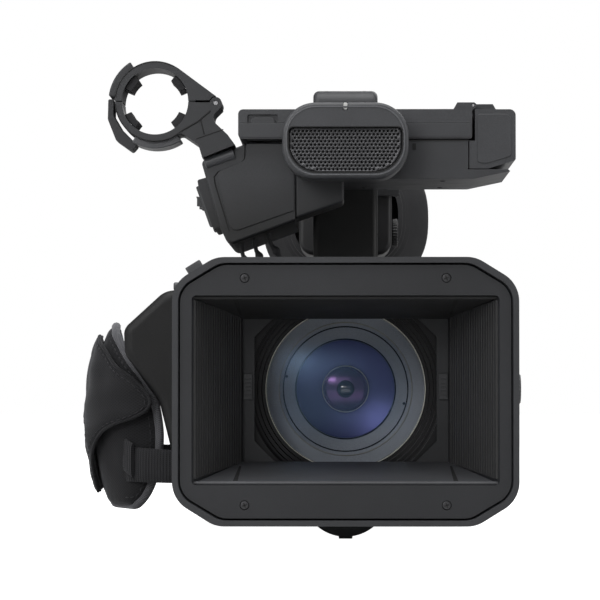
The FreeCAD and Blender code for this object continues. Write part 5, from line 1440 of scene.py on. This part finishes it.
CUP = [(121.1, 25.8, 22.8), (122.6, 26.0, 23.0), (123.4, 28.0, 24.8), (124.4, 28.2, 25.0),
       (125.2, 26.6, 23.6), (126.6, 27.2, 24.2), (127.4, 29.4, 26.0), (128.4, 29.8, 26.3),
       (129.2, 28.4, 25.2), (130.8, 29.6, 26.2), (131.6, 31.6, 27.8), (132.6, 32.2, 28.2),
       (133.4, 31.6, 27.6), (137.0, 34.6, 30.0), (142.0, 38.0, 32.8), (146.6, 40.6, 35.0),
       (148.2, 41.3, 35.5), (149.0, 41.0, 35.2), (149.0, 40.2, 34.4), (147.6, 39.2, 33.6),
       (142.0, 36.0, 31.0), (136.0, 31.6, 27.2), (130.0, 25.6, 22.6), (124.6, 19.4, 18.4),
       (121.2, 16.2, 16.2), (121.1, 16.0, 16.0)]
cup_points, cup_faces = [], []
for y, half_wide, half_tall in CUP:
    squareness = 2.0 + 0.5 * min(1, (half_wide - 16) / 12)
    cup_points += [(x, y, z) for x, z in oval(half_wide, half_tall, squareness)]
for row in range(len(CUP) - 1):
    here, after = row * CUP_STEPS, (row + 1) * CUP_STEPS
    for i in range(CUP_STEPS):
        nxt = (i + 1) % CUP_STEPS
        cup_faces.append((here + i, here + nxt, after + nxt, after + i))
cup = made("eyecup_folds", (cup_points, cup_faces), "soft_rubber", body="viewfinder", smooth=50)
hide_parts("eyecup")
made("eyepiece_rim",
     lathe([(119.4, 15.2), (121.3, 15.2), (121.9, 14.6), (121.3, 13.9), (119.6, 13.8)], (0, 0, FINDER_Z),
           count=64), "ring_metal", body="viewfinder", smooth=50)
screws("viewfinder_screws", [(-12, 84), (12, 84), (-12, 112), (12, 112)], "Z", 165.5, 1, 1.2, "viewfinder")
made("viewfinder_switch",
     [prism(box_outline((-4, 92), (4, 104), 1, 4), "XY", 165.3, 0.5),
      prism(box_outline((-2.6, 95), (2.6, 100), 1, 4), "XY", 165.5, 1.4)], "button_plastic",
     body="viewfinder", bevel=0.3)

# ---------------------------------------------------------------- hood and base fittings

made("hood_lock_knob",
     lathe([(65.6, 0.001), (65.6, 5.2), (66.2, 6.0), (68.0, 6.0), (68.5, 5.4), (68.6, 0.001)],
           (0, -186, 60), "X", 26 * 6, wave=rib_wave(26, 0.4, (2, 3))), "button_plastic", smooth=40)
made("hood_side_ribs",
     [slab((side * 65.9 - 0.25, -214 + 4 * i, 44), (side * 65.9 + 0.25, -212.6 + 4 * i, 76))
      for side in (-1, 1) for i in range(4)], "hood_plastic", bevel=0.2)
screws("base_screws", [(-20, -30), (20, -30), (-20, 54), (20, 54)], "Z", 0.6, -1, 1.6)
screws("audio_box_screws", [(-120, 158), (-66, 158)], "X", -20.1, 1, 1.2)
screws("tray_screws", [(8, -132), (40, -132), (8, -90), (40, -90)], "Z", 145.4, -1, 1.3)
screws("pod_rear_screws", [(-16, 160), (16, 160)], "Y", -146.0, 1, 1.2)


floor_mesh = bpy.data.meshes.new("floor")
floor_mesh.from_pydata([(-6, -6, 0), (6, -6, 0), (6, 6, 0), (-6, 6, 0)], [], [(0, 1, 2, 3)])
floor = bpy.data.objects.new("floor", floor_mesh)
scene.collection.objects.link(floor)
floor.location.z = -0.0006
pale = Nodes("pale_floor")
pale.colour(pale.ramp(pale.noise(2, 2), [(0.3, (0.5, 0.5, 0.5, 1)), (0.7, (0.52, 0.52, 0.52, 1))]))
pale.set(Roughness=0.8, Emission_Color=(1, 1, 1, 1))
seen = pale.add("ShaderNodeLightPath").outputs["Is Camera Ray"]
pale.link(pale.math("MULTIPLY", seen, 1.0), pale.shader.inputs["Emission Strength"])
floor.data.materials.append(pale.material)
